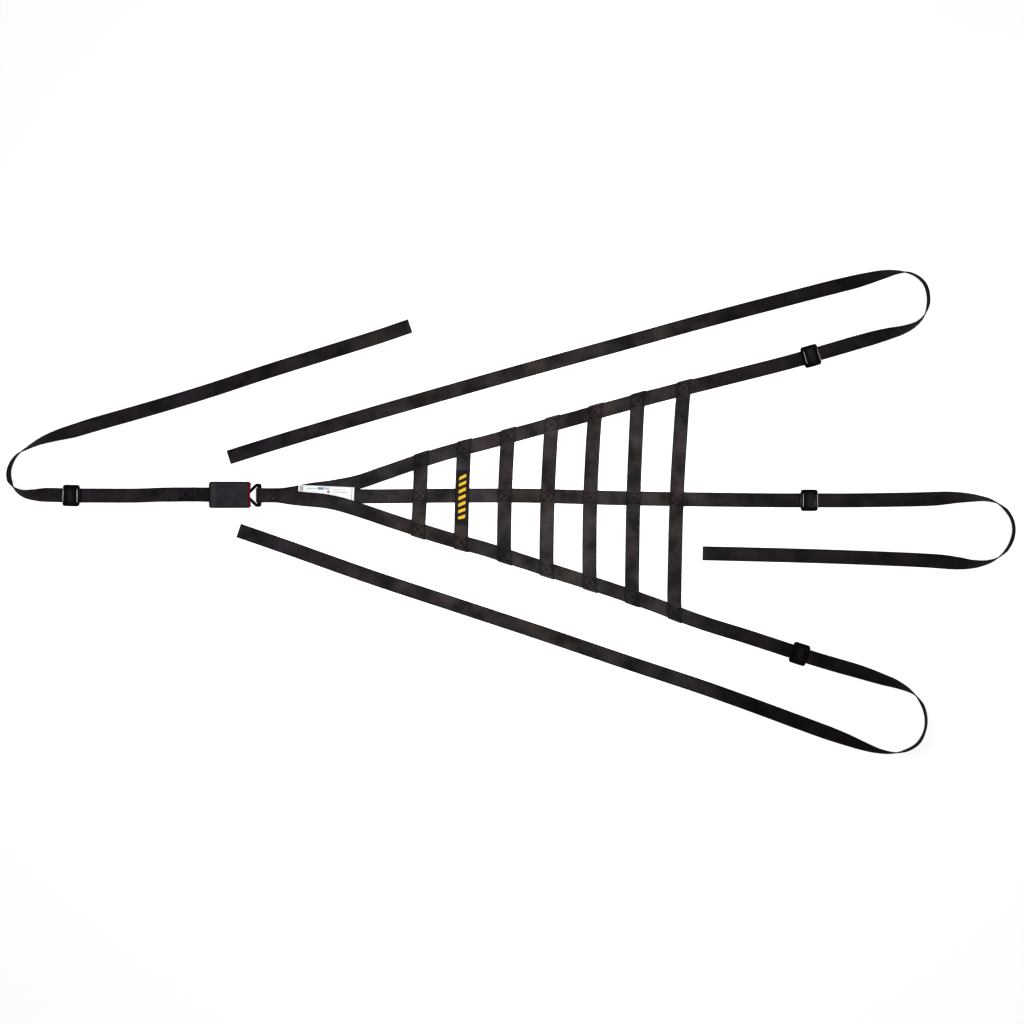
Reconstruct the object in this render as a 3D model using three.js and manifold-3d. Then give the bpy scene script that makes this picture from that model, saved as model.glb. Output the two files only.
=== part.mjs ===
// Roll cage net: a triangular ladder of 25 mm webbing with a push button buckle at its apex,
// laid out flat with its four adjusting straps looped back on themselves.
// Millimetres. X runs from the buckle's side to the open side of the net, Y across it, Z up.
// The origin is on the floor, under the middle of the whole layout.

import * as THREE from 'three';
import Module from 'manifold-3d';
import { mergeVertices } from 'three/addons/utils/BufferGeometryUtils.js';

// Webbing
const WEB_WIDTH = 25;
const WEB_THICK = 1.4;
const GAP = 0.3;
const LAYER = WEB_THICK + GAP;
const FLOOR = WEB_THICK / 2;
const STACK = [FLOOR, FLOOR + LAYER, FLOOR + 2 * LAYER];

// Sewn label and badge, both thin woven strips
const STRIP_THICK = 1.0;
const LABEL = { x: -336.6, y: 34.6, length: 101, width: 24.6, turn: -2.6 };
const BADGE = { rung: 2, yTop: 75.5, yBottom: -22.8, width: 23, clear: 0.5 };

// Rung ends, folded round the edge webbing
const FOLD_RADIUS = LAYER;
const FOLD_REACH = 1.1;
const FOLD_OUTSET = 0.25;
const FLAP_LENGTH = 21;

// Three-bar slides
const SLIDE = {
  along: 30.8, across: 38.4, corner: 5.5, outerBar: 5.3, centreBar: 4.6, slotWidth: 26.2, z: 1.9, thick: 2.4,
};

// Latch tongue: a triangular ring with a cross bar for the net's apex and a blade in the buckle
const TONGUE = { y: 30.3, z: 5, thick: 4, barLeft: -461.2, barRight: -453.5, halfWidth: 20.8, leg: 4.8 };
const BLADE = { halfWidth: 8, end: -502, hole: 7, holeX: -492 };

// Buckle
const HOUSING = { left: -547.7, right: -475.6, y: 31, halfWidth: 23.75, height: 21, wall: 1.2 };
const BUTTON = { back: -487.8, front: -471.4, low: 8.8, high: 18.6, clear: 0.35, travel: 5 };
const ANCHOR = { x: -536, z: 6.5, radius: 2.5, length: 36 };

// Routes of the webbing in plan. tilt: degrees that the webbing stands up from flat, on its left edge.
const UPPER_ROUTE = [
  { x: -513.5, y: 98.9, tilt: 0 },
  { x: -428.5, y: 125.5, tilt: 0 },
  { x: -272.2, y: 172.1, tilt: 0 },
  { x: -115.5, y: 217.3, tilt: 0 },
  { x: 41.4, y: 261.6, tilt: 0 },
  { x: 198.6, y: 304.8, tilt: 0 },
  { x: 338.5, y: 343.6, tilt: 0 },
  { x: 496.3, y: 385.3, tilt: 0 },
  { x: 575.2, y: 405.8, tilt: 0 },
  { x: 622.6, y: 417.2, tilt: 15 },
  { x: 667.9, y: 428.7, tilt: 46 },
  { x: 690.0, y: 432.9, tilt: 66 },
  { x: 712.3, y: 432.7, tilt: 84 },
  { x: 731.8, y: 424.5, tilt: 85 },
  { x: 745.0, y: 411.0, tilt: 87 },
  { x: 750.9, y: 391.9, tilt: 88 },
  { x: 750.3, y: 371.7, tilt: 88 },
  { x: 742.9, y: 353.1, tilt: 79 },
  { x: 729.0, y: 339.1, tilt: 73 },
  { x: 707.9, y: 329.2, tilt: 57 },
  { x: 680.3, y: 322.0, tilt: 35 },
  { x: 650.6, y: 314.1, tilt: 17 },
  { x: 608.8, y: 302.4, tilt: 5 },
  { x: 566.7, y: 290.1, tilt: 0 },
  { x: 540.7, y: 282.4, tilt: 0 },
  { x: 482.2, y: 266.4, tilt: 0 },
  { x: 377.0, y: 239.9, tilt: 0 },
  { x: 250.6, y: 207.8, tilt: 0 },
  { x: 96.7, y: 165.1, tilt: 0 },
  { x: -48.3, y: 125.6, tilt: 0 },
  { x: -120.8, y: 106.8, tilt: 0 },
  { x: -193.3, y: 83.5, tilt: 0 },
  { x: -238.6, y: 67.6, tilt: 0 },
  { x: -280.2, y: 53.9, tilt: 0 },
  { x: -323.8, y: 45.3, tilt: 0 },
  { x: -365.5, y: 39.6, tilt: 0 },
  { x: -395.0, y: 34.0, tilt: 0 },
  { x: -423.4, y: 30.2, tilt: 0 },
  { x: -440.0, y: 30.3, tilt: 0 },
  { x: -459.7, y: 30.3, tilt: 0 },
];
const LOWER_ROUTE = [
  { x: -459.7, y: 30.3, tilt: 0 },
  { x: -440.0, y: 30.3, tilt: 0 },
  { x: -423.4, y: 29.6, tilt: 0 },
  { x: -402.0, y: 26.4, tilt: 0 },
  { x: -376.0, y: 23.4, tilt: 0 },
  { x: -340.0, y: 20.0, tilt: 0 },
  { x: -314.7, y: 15.0, tilt: 0 },
  { x: -282.1, y: 5.4, tilt: 0 },
  { x: -220.4, y: -15.4, tilt: 0 },
  { x: -120.8, y: -47.2, tilt: 0 },
  { x: -48.2, y: -67.2, tilt: 0 },
  { x: 24.3, y: -90.9, tilt: 0 },
  { x: 96.6, y: -114.4, tilt: 0 },
  { x: 169.2, y: -137.2, tilt: 0 },
  { x: 250.7, y: -165.4, tilt: 0 },
  { x: 341.2, y: -199.3, tilt: 0 },
  { x: 425.7, y: -225.8, tilt: 0 },
  { x: 520.2, y: -256.8, tilt: 0 },
  { x: 543.9, y: -264.5, tilt: 0 },
  { x: 585.8, y: -277.0, tilt: 2 },
  { x: 627.8, y: -288.9, tilt: 17 },
  { x: 669.7, y: -302.5, tilt: 39 },
  { x: 697.4, y: -311.9, tilt: 59 },
  { x: 722.2, y: -325.5, tilt: 81 },
  { x: 738.6, y: -345.0, tilt: 91 },
  { x: 746.4, y: -369.1, tilt: 87 },
  { x: 744.8, y: -393.9, tilt: 83 },
  { x: 732.6, y: -417.1, tilt: 86 },
  { x: 710.8, y: -430.5, tilt: 87 },
  { x: 688.0, y: -434.8, tilt: 79 },
  { x: 661.1, y: -431.3, tilt: 67 },
  { x: 633.6, y: -422.7, tilt: 49 },
  { x: 604.1, y: -411.6, tilt: 29 },
  { x: 572.2, y: -400.1, tilt: 11 },
  { x: 529.8, y: -384.7, tilt: 0 },
  { x: 419.1, y: -343.8, tilt: 0 },
  { x: 342.3, y: -316.6, tilt: 0 },
  { x: 207.1, y: -271.8, tilt: 0 },
  { x: 53.0, y: -219.5, tilt: 0 },
  { x: -101.9, y: -168.4, tilt: 0 },
  { x: -256.9, y: -117.3, tilt: 0 },
  { x: -410.6, y: -62.9, tilt: 0 },
  { x: -495.4, y: -33.5, tilt: 0 },
];
const CENTRE_ROUTE = [
  { x: -441.0, y: 30.3, tilt: 0 },
  { x: -387.0, y: 30.8, tilt: 0 },
  { x: -320.0, y: 29.6, tilt: 0 },
  { x: -256.6, y: 28.4, tilt: 0 },
  { x: -124.4, y: 29.6, tilt: 0 },
  { x: 27.8, y: 29.5, tilt: 0 },
  { x: 180.0, y: 25.5, tilt: 0 },
  { x: 341.2, y: 22.7, tilt: 0 },
  { x: 493.4, y: 21.1, tilt: 0 },
  { x: 537.7, y: 21.2, tilt: 0 },
  { x: 607.5, y: 21.1, tilt: 0 },
  { x: 683.6, y: 22.0, tilt: 0 },
  { x: 757.9, y: 23.7, tilt: 5 },
  { x: 796.5, y: 26.1, tilt: 33 },
  { x: 823.2, y: 26.2, tilt: 51 },
  { x: 847.3, y: 24.7, tilt: 69 },
  { x: 871.0, y: 18.6, tilt: 79 },
  { x: 889.8, y: 5.2, tilt: 89 },
  { x: 901.6, y: -12.7, tilt: 86 },
  { x: 905.4, y: -32.0, tilt: 85 },
  { x: 901.5, y: -51.8, tilt: 87 },
  { x: 890.5, y: -70.8, tilt: 86 },
  { x: 873.2, y: -84.9, tilt: 78 },
  { x: 852.6, y: -92.3, tilt: 67 },
  { x: 829.7, y: -94.4, tilt: 50 },
  { x: 805.0, y: -92.7, tilt: 25 },
  { x: 775.0, y: -89.6, tilt: 4 },
  { x: 728.9, y: -86.8, tilt: 0 },
  { x: 620.2, y: -82.3, tilt: 0 },
  { x: 511.5, y: -78.8, tilt: 0 },
  { x: 402.8, y: -76.1, tilt: 0 },
  { x: 344.8, y: -74.8, tilt: 0 },
];
const BUCKLE_FLAP_ROUTE = [
  { x: -628.0, y: 31.2, tilt: 0 },
  { x: -580.0, y: 31.8, tilt: 0 },
  { x: -550.0, y: 31.4, tilt: 0 },
  { x: ANCHOR.x, y: HOUSING.y, tilt: 0 },
];
const BUCKLE_ROUTE = [
  { x: ANCHOR.x, y: HOUSING.y, tilt: 0 },
  { x: -550.0, y: 31.4, tilt: 0 },
  { x: -580.0, y: 31.8, tilt: 0 },
  { x: -628.0, y: 31.5, tilt: 0 },
  { x: -682.3, y: 29.7, tilt: 0 },
  { x: -763.9, y: 29.8, tilt: 0 },
  { x: -798.2, y: 29.8, tilt: 0 },
  { x: -818.4, y: 30.5, tilt: 0 },
  { x: -841.0, y: 31.0, tilt: 6 },
  { x: -862.5, y: 30.6, tilt: 36 },
  { x: -882.1, y: 32.9, tilt: 57 },
  { x: -897.5, y: 41.6, tilt: 73 },
  { x: -906.3, y: 55.3, tilt: 93 },
  { x: -908.3, y: 72.1, tilt: 91 },
  { x: -903.2, y: 89.2, tilt: 88 },
  { x: -892.0, y: 104.6, tilt: 83 },
  { x: -873.9, y: 116.4, tilt: 71 },
  { x: -852.2, y: 127.9, tilt: 56 },
  { x: -824.8, y: 138.0, tilt: 35 },
  { x: -794.9, y: 146.5, tilt: 14 },
  { x: -757.2, y: 158.3, tilt: 0 },
  { x: -652.7, y: 188.1, tilt: 0 },
  { x: -548.7, y: 219.7, tilt: 0 },
  { x: -445.7, y: 253.6, tilt: 0 },
  { x: -341.8, y: 286.2, tilt: 0 },
  { x: -238.0, y: 318.8, tilt: 0 },
  { x: -184.6, y: 337.1, tilt: 0 },
];

// Rungs: centre x at the upper edge, the middle and the lower edge of the net, at the heights y that follow,
// and how far the free stretches above and below the centre webbing arch off the floor.
const RUNGS = [
  { xTop: -165.2, xMid: -167.2, xLow: -170.3, yTop: 90, yLow: -33, archUp: 0.4, archDown: 0.4 },
  { xTop: -87.1, xMid: -90.6, xLow: -92.4, yTop: 116, yLow: -58, archUp: 0.5, archDown: 0.6 },
  { xTop: -7.8, xMid: -13.2, xLow: -14.7, yTop: 136, yLow: -79, archUp: 1.2, archDown: 1.6 },
  { xTop: 71.4, xMid: 64.3, xLow: 62.1, yTop: 158, yLow: -105, archUp: 1.6, archDown: 2.4 },
  { xTop: 150.3, xMid: 141.6, xLow: 140.3, yTop: 180, yLow: -129, archUp: 2.0, archDown: 3.0 },
  { xTop: 227.4, xMid: 219.7, xLow: 216.9, yTop: 202, yLow: -155, archUp: 2.4, archDown: 3.6 },
  { xTop: 310.6, xMid: 298.1, xLow: 293.5, yTop: 222, yLow: -183, archUp: 2.6, archDown: 4.2 },
];
const Y_MID = 27;

// Where the slides sit
const SLIDE_PLACES = {
  slide_upper: { route: UPPER_ROUTE, x: 540.7, y: 282.4 },
  slide_middle: { route: CENTRE_ROUTE, x: 537.7, y: 21.2 },
  slide_lower: { route: LOWER_ROUTE, x: 520.2, y: -256.8 },
  slide_left: { route: BUCKLE_ROUTE, x: -798.2, y: 29.8 },
};

const material = (color, roughness, metalness) => (
  new THREE.MeshStandardMaterial({ color, roughness, metalness })
);
const MATERIALS = {
  webbing: material(0x252224, 0.85, 0),
  badge: material(0x1d1b1d, 0.75, 0),
  label: material(0xe4e6ea, 0.7, 0),
  steel: material(0x121213, 0.3, 0.6),
  housing: material(0x303236, 0.5, 0),
  button: material(0x8c1013, 0.4, 0),
};

const radians = THREE.MathUtils.degToRad;
const UP = new THREE.Vector3(0, 0, 1);
const ease = (t) => (1 - Math.cos(Math.PI * THREE.MathUtils.clamp(t, 0, 1))) / 2;

/** Samples a route's smooth plan curve: distance along it, place, heading and tilt. */
function survey(rows) {
  const STEPS = 24;
  const curve = new THREE.CatmullRomCurve3(rows.map((row) => new THREE.Vector3(row.x, row.y, 0)));
  const samples = [];
  const count = (rows.length - 1) * STEPS;
  for (let i = 0; i <= count; i += 1) {
    const row = Math.min(Math.floor(i / STEPS), rows.length - 2);
    const place = curve.getPoint(i / count);
    const back = samples[samples.length - 1];
    samples.push({
      at: back ? back.at + place.distanceTo(back.place) : 0,
      place,
      heading: curve.getTangent(i / count),
      tilt: THREE.MathUtils.lerp(rows[row].tilt, rows[row + 1].tilt, i / STEPS - row),
    });
  }
  return samples;
}

const lengthOf = (samples) => samples[samples.length - 1].at;

/** Distance along a surveyed route of its nearest place to a point. */
function nearest(samples, x, y) {
  let best = samples[0];
  const gapTo = (sample) => Math.hypot(sample.place.x - x, sample.place.y - y);
  for (const sample of samples) if (gapTo(sample) < gapTo(best)) best = sample;
  return best.at;
}

/** Place, heading and tilt of a surveyed route at a distance along it. */
function locate(samples, at) {
  let i = samples.findIndex((sample) => sample.at >= at);
  if (i < 0) i = samples.length - 1;
  if (i === 0) i = 1;
  const a = samples[i - 1];
  const b = samples[i];
  const t = THREE.MathUtils.clamp((at - a.at) / (b.at - a.at), 0, 1);
  return {
    place: a.place.clone().lerp(b.place, t),
    heading: a.heading.clone().lerp(b.heading, t).normalize(),
    tilt: THREE.MathUtils.lerp(a.tilt, b.tilt, t),
  };
}

/** Height that the lifts give at a distance: a lift holds its height from .. to, with soft ramps outside. */
function liftedBy(lifts, at) {
  let height = 0;
  for (const lift of lifts) {
    const outside = Math.max(lift.from - at, at - lift.to, 0);
    height = Math.max(height, lift.height * (1 - ease(outside / lift.ramp)));
  }
  return height;
}

/** Distances at which a strap needs a section: along its bends and twists, and up and down each ramp. */
function sectionPlaces(samples, lifts, longest) {
  const TURN = radians(8);
  const TWIST = 10;
  const RAMP_STEPS = 4;
  const end = lengthOf(samples);
  const places = [0, end];
  let last = samples[0];
  for (const sample of samples) {
    const turned = sample.heading.angleTo(last.heading) > TURN || Math.abs(sample.tilt - last.tilt) > TWIST;
    if (turned || sample.at - last.at > longest) {
      places.push(sample.at);
      last = sample;
    }
  }
  for (const lift of lifts) {
    for (let i = 0; i <= RAMP_STEPS; i += 1) {
      places.push(lift.from - (lift.ramp * i) / RAMP_STEPS, lift.to + (lift.ramp * i) / RAMP_STEPS);
    }
  }
  const CLOSEST = 0.7;
  const inside = places.filter((at) => at >= 0 && at <= end).sort((a, b) => a - b);
  return inside.filter((at, i) => i === 0 || i === inside.length - 1 || at - inside[i - 1] > CLOSEST);
}

/**
 * Sections of a strap laid along a route. Each has its centre, the half vector across the webbing to its
 * left edge and the half vector to its upper face. side -1 names the same section from its other face.
 */
function layStrap(rows, lifts, { side = 1, width = WEB_WIDTH, thick = WEB_THICK, longest = 70 } = {}) {
  const samples = survey(rows);
  const centreAt = (at) => {
    const { place, tilt } = locate(samples, at);
    const turn = radians(tilt);
    const rest = (width / 2) * Math.sin(turn) + (thick / 2) * Math.abs(Math.cos(turn));
    return new THREE.Vector3(place.x, place.y, rest + liftedBy(lifts, at));
  };
  return sectionPlaces(samples, lifts, longest).map((at) => {
    const { heading, tilt } = locate(samples, at);
    const turn = radians(tilt);
    const left = UP.clone().cross(heading).normalize();
    const across = left.multiplyScalar(Math.cos(turn)).addScaledVector(UP, -Math.sin(turn));
    const ahead = centreAt(at + 0.2).sub(centreAt(at - 0.2));
    ahead.addScaledVector(across, -ahead.dot(across)).normalize();
    const normal = ahead.clone().cross(across).normalize();
    return {
      centre: centreAt(at),
      across: across.multiplyScalar((side * width) / 2),
      normal: normal.multiplyScalar((side * thick) / 2),
    };
  });
}

/** Sections round a bar that lies along Y, from under it to over it. reach is +1 for the bar's +X side. */
function wrapBar(x, y, z, radius, reach, across) {
  const STEPS = 8;
  const sections = [];
  for (let i = 1; i < STEPS; i += 1) {
    const angle = (Math.PI * i) / STEPS;
    const out = new THREE.Vector3(reach * Math.sin(angle), 0, -Math.cos(angle));
    sections.push({
      centre: new THREE.Vector3(x, y, z).addScaledVector(out, radius),
      across: across.clone(),
      normal: out.clone().multiplyScalar(-WEB_THICK / 2),
    });
  }
  return sections;
}

/** Closed solid through a list of sections, both faces split along one diagonal so that twists stay thick. */
function strapGeometry(sections) {
  const UNDER = 2;
  const positions = [];
  const index = [];
  for (const { centre, across, normal } of sections) {
    for (const [a, n] of [[1, 1], [-1, 1], [-1, -1], [1, -1]]) {
      const corner = centre.clone().addScaledVector(across, a).addScaledVector(normal, n);
      positions.push(corner.x, corner.y, corner.z);
    }
  }
  for (let i = 0; i < sections.length - 1; i += 1) {
    for (let j = 0; j < 4; j += 1) {
      const a = 4 * i + j;
      const b = 4 * i + ((j + 1) % 4);
      if (j === UNDER) index.push(a, b, a + 4, b, b + 4, a + 4);
      else index.push(a, b, b + 4, a, b + 4, a + 4);
    }
  }
  const last = 4 * (sections.length - 1);
  index.push(0, 3, 2, 0, 2, 1, last, last + 1, last + 2, last, last + 2, last + 3);
  const geometry = new THREE.BufferGeometry();
  geometry.setAttribute('position', new THREE.Float32BufferAttribute(positions, 3));
  geometry.setIndex(index);
  geometry.computeVertexNormals();
  return geometry;
}

const wasm = await Module();
wasm.setup();

/** A closed three.js geometry as a solid that can be joined and cut. */
function solid(geometry) {
  const bare = geometry.clone();
  for (const name of Object.keys(bare.attributes)) if (name !== 'position') bare.deleteAttribute(name);
  const merged = mergeVertices(bare, 1e-4);
  return new wasm.Manifold(new wasm.Mesh({
    numProp: 3,
    vertProperties: new Float32Array(merged.attributes.position.array),
    triVerts: new Uint32Array(merged.index.array),
  }));
}

/** A solid back as a three.js geometry. */
function geometryOf(body) {
  const mesh = body.getMesh();
  const geometry = new THREE.BufferGeometry();
  geometry.setAttribute('position', new THREE.Float32BufferAttribute(mesh.vertProperties, 3));
  geometry.setIndex(Array.from(mesh.triVerts));
  geometry.computeVertexNormals();
  return geometry;
}

/** Box between two corners. */
function block(low, high) {
  const geometry = new THREE.BoxGeometry(high[0] - low[0], high[1] - low[1], high[2] - low[2]);
  return geometry.translate((low[0] + high[0]) / 2, (low[1] + high[1]) / 2, (low[2] + high[2]) / 2);
}

/** Rounds the corners of a closed outline: points of { x, y, r }. */
function roundedOutline(points, Path = THREE.Shape) {
  const outline = new Path();
  points.forEach((point, i) => {
    const back = points[(i + points.length - 1) % points.length];
    const next = points[(i + 1) % points.length];
    const corner = new THREE.Vector2(point.x, point.y);
    const from = new THREE.Vector2(back.x, back.y).sub(corner).setLength(point.r).add(corner);
    const to = new THREE.Vector2(next.x, next.y).sub(corner).setLength(point.r).add(corner);
    if (i === 0) outline.moveTo(from.x, from.y);
    else outline.lineTo(from.x, from.y);
    outline.quadraticCurveTo(corner.x, corner.y, to.x, to.y);
  });
  outline.closePath();
  return outline;
}

/** Corner points of a rectangle about a centre, for roundedOutline. */
function rectangle(x, y, halfX, halfY, r) {
  const corners = [[-1, -1], [1, -1], [1, 1], [-1, 1]];
  return corners.map(([i, j]) => ({ x: x + i * halfX, y: y + j * halfY, r }));
}

/** Plate of a given thickness with softened edges, standing on z = low. */
function plate(shape, low, thick, soft, curveSegments) {
  const geometry = new THREE.ExtrudeGeometry(shape, {
    depth: thick - 2 * soft,
    bevelEnabled: soft > 0,
    bevelThickness: soft,
    bevelSize: soft,
    bevelOffset: -soft,
    bevelSegments: 1,
    curveSegments,
  });
  return geometry.translate(0, 0, low + soft);
}

const net = new THREE.Group();

function add(name, geometry, finish, parent = net) {
  const mesh = new THREE.Mesh(geometry, finish);
  mesh.name = name;
  parent.add(mesh);
  return mesh;
}

/** A rung's centre x at a height y of the net, on the parabola through its three measured places. */
function rungX(rung, y) {
  const high = (y - Y_MID) * (y - rung.yLow) / ((rung.yTop - Y_MID) * (rung.yTop - rung.yLow));
  const mid = (y - rung.yTop) * (y - rung.yLow) / ((Y_MID - rung.yTop) * (Y_MID - rung.yLow));
  const low = (y - rung.yTop) * (y - Y_MID) / ((rung.yLow - rung.yTop) * (rung.yLow - Y_MID));
  return rung.xTop * high + rung.xMid * mid + rung.xLow * low;
}

/** Where a rung's centre line meets a surveyed route, on the net's side of it. */
function crossing(samples, rung) {
  let best = null;
  for (let i = 1; i < samples.length; i += 1) {
    const offset = (sample) => sample.place.x - rungX(rung, sample.place.y);
    const a = offset(samples[i - 1]);
    const b = offset(samples[i]);
    const nearer = !best || Math.abs(samples[i].place.y) < Math.abs(best.place.y);
    if (a * b <= 0 && a !== b && nearer) {
      const at = THREE.MathUtils.lerp(samples[i - 1].at, samples[i].at, a / (a - b));
      best = { at, ...locate(samples, at) };
    }
  }
  return best;
}

const upperSurvey = survey(UPPER_ROUTE);
const lowerSurvey = survey(LOWER_ROUTE);
const centreSurvey = survey(CENTRE_ROUTE);
for (const rung of RUNGS) {
  rung.upper = crossing(upperSurvey, rung);
  rung.middle = crossing(centreSurvey, rung);
  rung.lower = crossing(lowerSurvey, rung);
}

/** Lift round a place of a surveyed route, before and after it in the direction of travel. */
function liftAt(samples, x, y, { before = 0, after = 0, ramp, height }) {
  const at = nearest(samples, x, y);
  return { from: at - before, to: at + after, ramp, height };
}

/** Lift that carries the webbing over the centre bar of a slide. */
function slideLift(samples, name) {
  const { x, y } = SLIDE_PLACES[name];
  const half = SLIDE.centreBar / 2 + 0.5;
  const height = SLIDE.z + SLIDE.thick + GAP;
  return liftAt(samples, x, y, { before: half, after: half, ramp: 7, height });
}

// The edge webbing: one strap from the upper free end, round the tongue's bar, to the lower free end.
// At each rung it lies over the rung's folded end. At the apex its lower half is the top layer.
const COVER_LEFT = 22;
const COVER_RIGHT = 32;
const rungLifts = (side, before, after) => RUNGS.map((rung) => (
  { from: rung[side].at - before, to: rung[side].at + after, ramp: 9, height: LAYER }
));
const barUnder = TONGUE.z - TONGUE.thick / 2 - GAP - WEB_THICK / 2;
const barOver = TONGUE.z + TONGUE.thick / 2 + GAP + WEB_THICK / 2;
const labelTop = STACK[1] + WEB_THICK / 2 + GAP + STRIP_THICK;
const upperLifts = [
  slideLift(upperSurvey, 'slide_upper'),
  ...rungLifts('upper', COVER_RIGHT, COVER_LEFT),
  liftAt(upperSurvey, -237, 68, { before: 3, after: 3, ramp: 19, height: 4.6 }),
  liftAt(upperSurvey, -459.7, 30.3, { before: 7, ramp: 10, height: barUnder - FLOOR }),
];
const lowerLifts = [
  liftAt(lowerSurvey, -459.7, 30.3, { after: 7, ramp: 17, height: barOver - FLOOR }),
  liftAt(lowerSurvey, -365, 22.5, { before: 95, after: 95, ramp: 24, height: STACK[2] - FLOOR }),
  liftAt(lowerSurvey, -340, 20, { before: 52, after: 52, ramp: 12, height: labelTop + GAP }),
  ...rungLifts('lower', COVER_LEFT, COVER_RIGHT),
  slideLift(lowerSurvey, 'slide_lower'),
];
const upperHalf = layStrap(UPPER_ROUTE, upperLifts);
const apexWrap = wrapBar(-459.7, TONGUE.y, TONGUE.z, (barOver - barUnder) / 2, -1,
  new THREE.Vector3(0, -WEB_WIDTH / 2, 0));
const lowerHalf = layStrap(LOWER_ROUTE, lowerLifts, { side: -1 });
add('edge_webbing', strapGeometry([...upperHalf, ...apexWrap, ...lowerHalf]), MATERIALS.webbing);

// The centre webbing: sewn between the two halves at the apex, then under the rungs to its free end.
const centreLifts = [
  liftAt(centreSurvey, -441, 30.3, { after: 168, ramp: 12, height: LAYER }),
  slideLift(centreSurvey, 'slide_middle'),
];
add('centre_webbing', strapGeometry(layStrap(CENTRE_ROUTE, centreLifts)), MATERIALS.webbing);

// The buckle webbing: its sewn flap, round the anchor bar, then through the left slide to its free end.
const flapSurvey = survey(BUCKLE_FLAP_ROUTE);
const buckleSurvey = survey(BUCKLE_ROUTE);
const anchorWrap = ANCHOR.radius + GAP + WEB_THICK / 2;
const flapLifts = [
  liftAt(flapSurvey, ANCHOR.x, HOUSING.y, { before: 10, ramp: 26, height: ANCHOR.z - anchorWrap - FLOOR }),
];
const buckleLifts = [
  liftAt(buckleSurvey, ANCHOR.x, HOUSING.y, { after: 10, ramp: 32, height: ANCHOR.z + anchorWrap - FLOOR }),
  liftAt(buckleSurvey, -596, 31.7, { before: 36, after: 36, ramp: 10, height: LAYER }),
  slideLift(buckleSurvey, 'slide_left'),
];
add('buckle_webbing', strapGeometry([
  ...layStrap(BUCKLE_FLAP_ROUTE, flapLifts),
  ...wrapBar(ANCHOR.x, HOUSING.y, ANCHOR.z, anchorWrap, 1, new THREE.Vector3(0, WEB_WIDTH / 2, 0)),
  ...layStrap(BUCKLE_ROUTE, buckleLifts, { side: -1 }),
]), MATERIALS.webbing);

/** Unit vector along an angle in plan. */
const along = (angle) => new THREE.Vector3(Math.cos(angle), Math.sin(angle), 0);

/** Plan angle of a heading, taken towards +X. */
function lean(heading) {
  return Math.atan(heading.y / heading.x);
}

/** One end of a rung: its fold round the edge webbing and the flap under it, from the fold's top outwards. */
function foldedEnd(crossed, rungWay, outward) {
  const u = along(lean(crossed.heading));
  const n = new THREE.Vector3(-u.y, u.x, 0).multiplyScalar(outward);
  const square = rungWay.dot(n);
  const start = crossed.place.clone().addScaledVector(rungWay, (WEB_WIDTH / 2 + FOLD_OUTSET) / square);
  const slip = rungWay.dot(u) / square;
  const across = u.clone().multiplyScalar(WEB_WIDTH / 2 / square);
  const section = (run, out, angle) => ({
    centre: start.clone().addScaledVector(u, run * slip).addScaledVector(n, out)
      .setZ(STACK[1] + FOLD_RADIUS * Math.cos(angle)),
    across: across.clone(),
    normal: n.clone().multiplyScalar(Math.sin(angle)).addScaledVector(UP, Math.cos(angle))
      .multiplyScalar(WEB_THICK / 2),
  });
  const STEPS = 6;
  const sections = [];
  for (let i = 0; i <= STEPS; i += 1) {
    const angle = (Math.PI * i) / STEPS;
    sections.push(section(FOLD_RADIUS * angle, FOLD_REACH * Math.sin(angle), angle));
  }
  sections.push(section(FOLD_RADIUS * Math.PI + FLAP_LENGTH, -FLAP_LENGTH, Math.PI));
  return { start, sections };
}

/** Direction of a rung's centre line at y, in the sense of the sign given. */
function rungWay(rung, y, sign) {
  return new THREE.Vector3(rungX(rung, y + sign) - rungX(rung, y), sign, 0).normalize();
}

/** Lifts along a rung, by y: over the lower edge, the centre webbing and the upper edge. */
function rungLiftsAlong(rung, yTop, yLow) {
  const OVER_EDGE = 28;
  const OVER_CENTRE = 16.5;
  const middle = rung.middle.place.y;
  return [
    { from: yLow, to: yLow + OVER_EDGE, ramp: 14, height: STACK[2] - FLOOR },
    { from: middle - OVER_CENTRE, to: middle + OVER_CENTRE, ramp: 9, height: LAYER },
    { from: yTop - OVER_EDGE, to: yTop, ramp: 14, height: STACK[2] - FLOOR },
  ];
}

/** Height of a rung's centre at y, arched between its lifts. */
function rungHeight(rung, lifts, y) {
  const [low, middle, high] = lifts;
  const above = y > (middle.from + middle.to) / 2;
  const [from, to, arch] = above ? [middle.to, high.from, rung.archUp] : [low.to, middle.from, rung.archDown];
  const t = THREE.MathUtils.clamp((y - from) / (to - from), 0, 1);
  return FLOOR + Math.max(liftedBy(lifts, y), arch * Math.sin(Math.PI * t) ** 2);
}

/** Heights y at which a rung needs a section between two ends: on each ramp, and evenly elsewhere. */
function rungPlaces(lifts, yFrom, yTo) {
  const EVEN = 15;
  const RAMP_STEPS = 5;
  const CLOSEST = 1.5;
  const steps = Math.ceil((yFrom - yTo) / EVEN);
  const places = [];
  for (let i = 1; i < steps; i += 1) places.push(THREE.MathUtils.lerp(yFrom, yTo, i / steps));
  for (const lift of lifts) {
    for (let i = 0; i <= RAMP_STEPS; i += 1) {
      places.push(lift.from - (lift.ramp * i) / RAMP_STEPS, lift.to + (lift.ramp * i) / RAMP_STEPS);
    }
  }
  const inside = places.filter((y) => y < yFrom - CLOSEST && y > yTo + CLOSEST).sort((a, b) => b - a);
  return [yFrom, ...inside.filter((y, i) => i === 0 || inside[i - 1] - y > CLOSEST), yTo];
}

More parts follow.
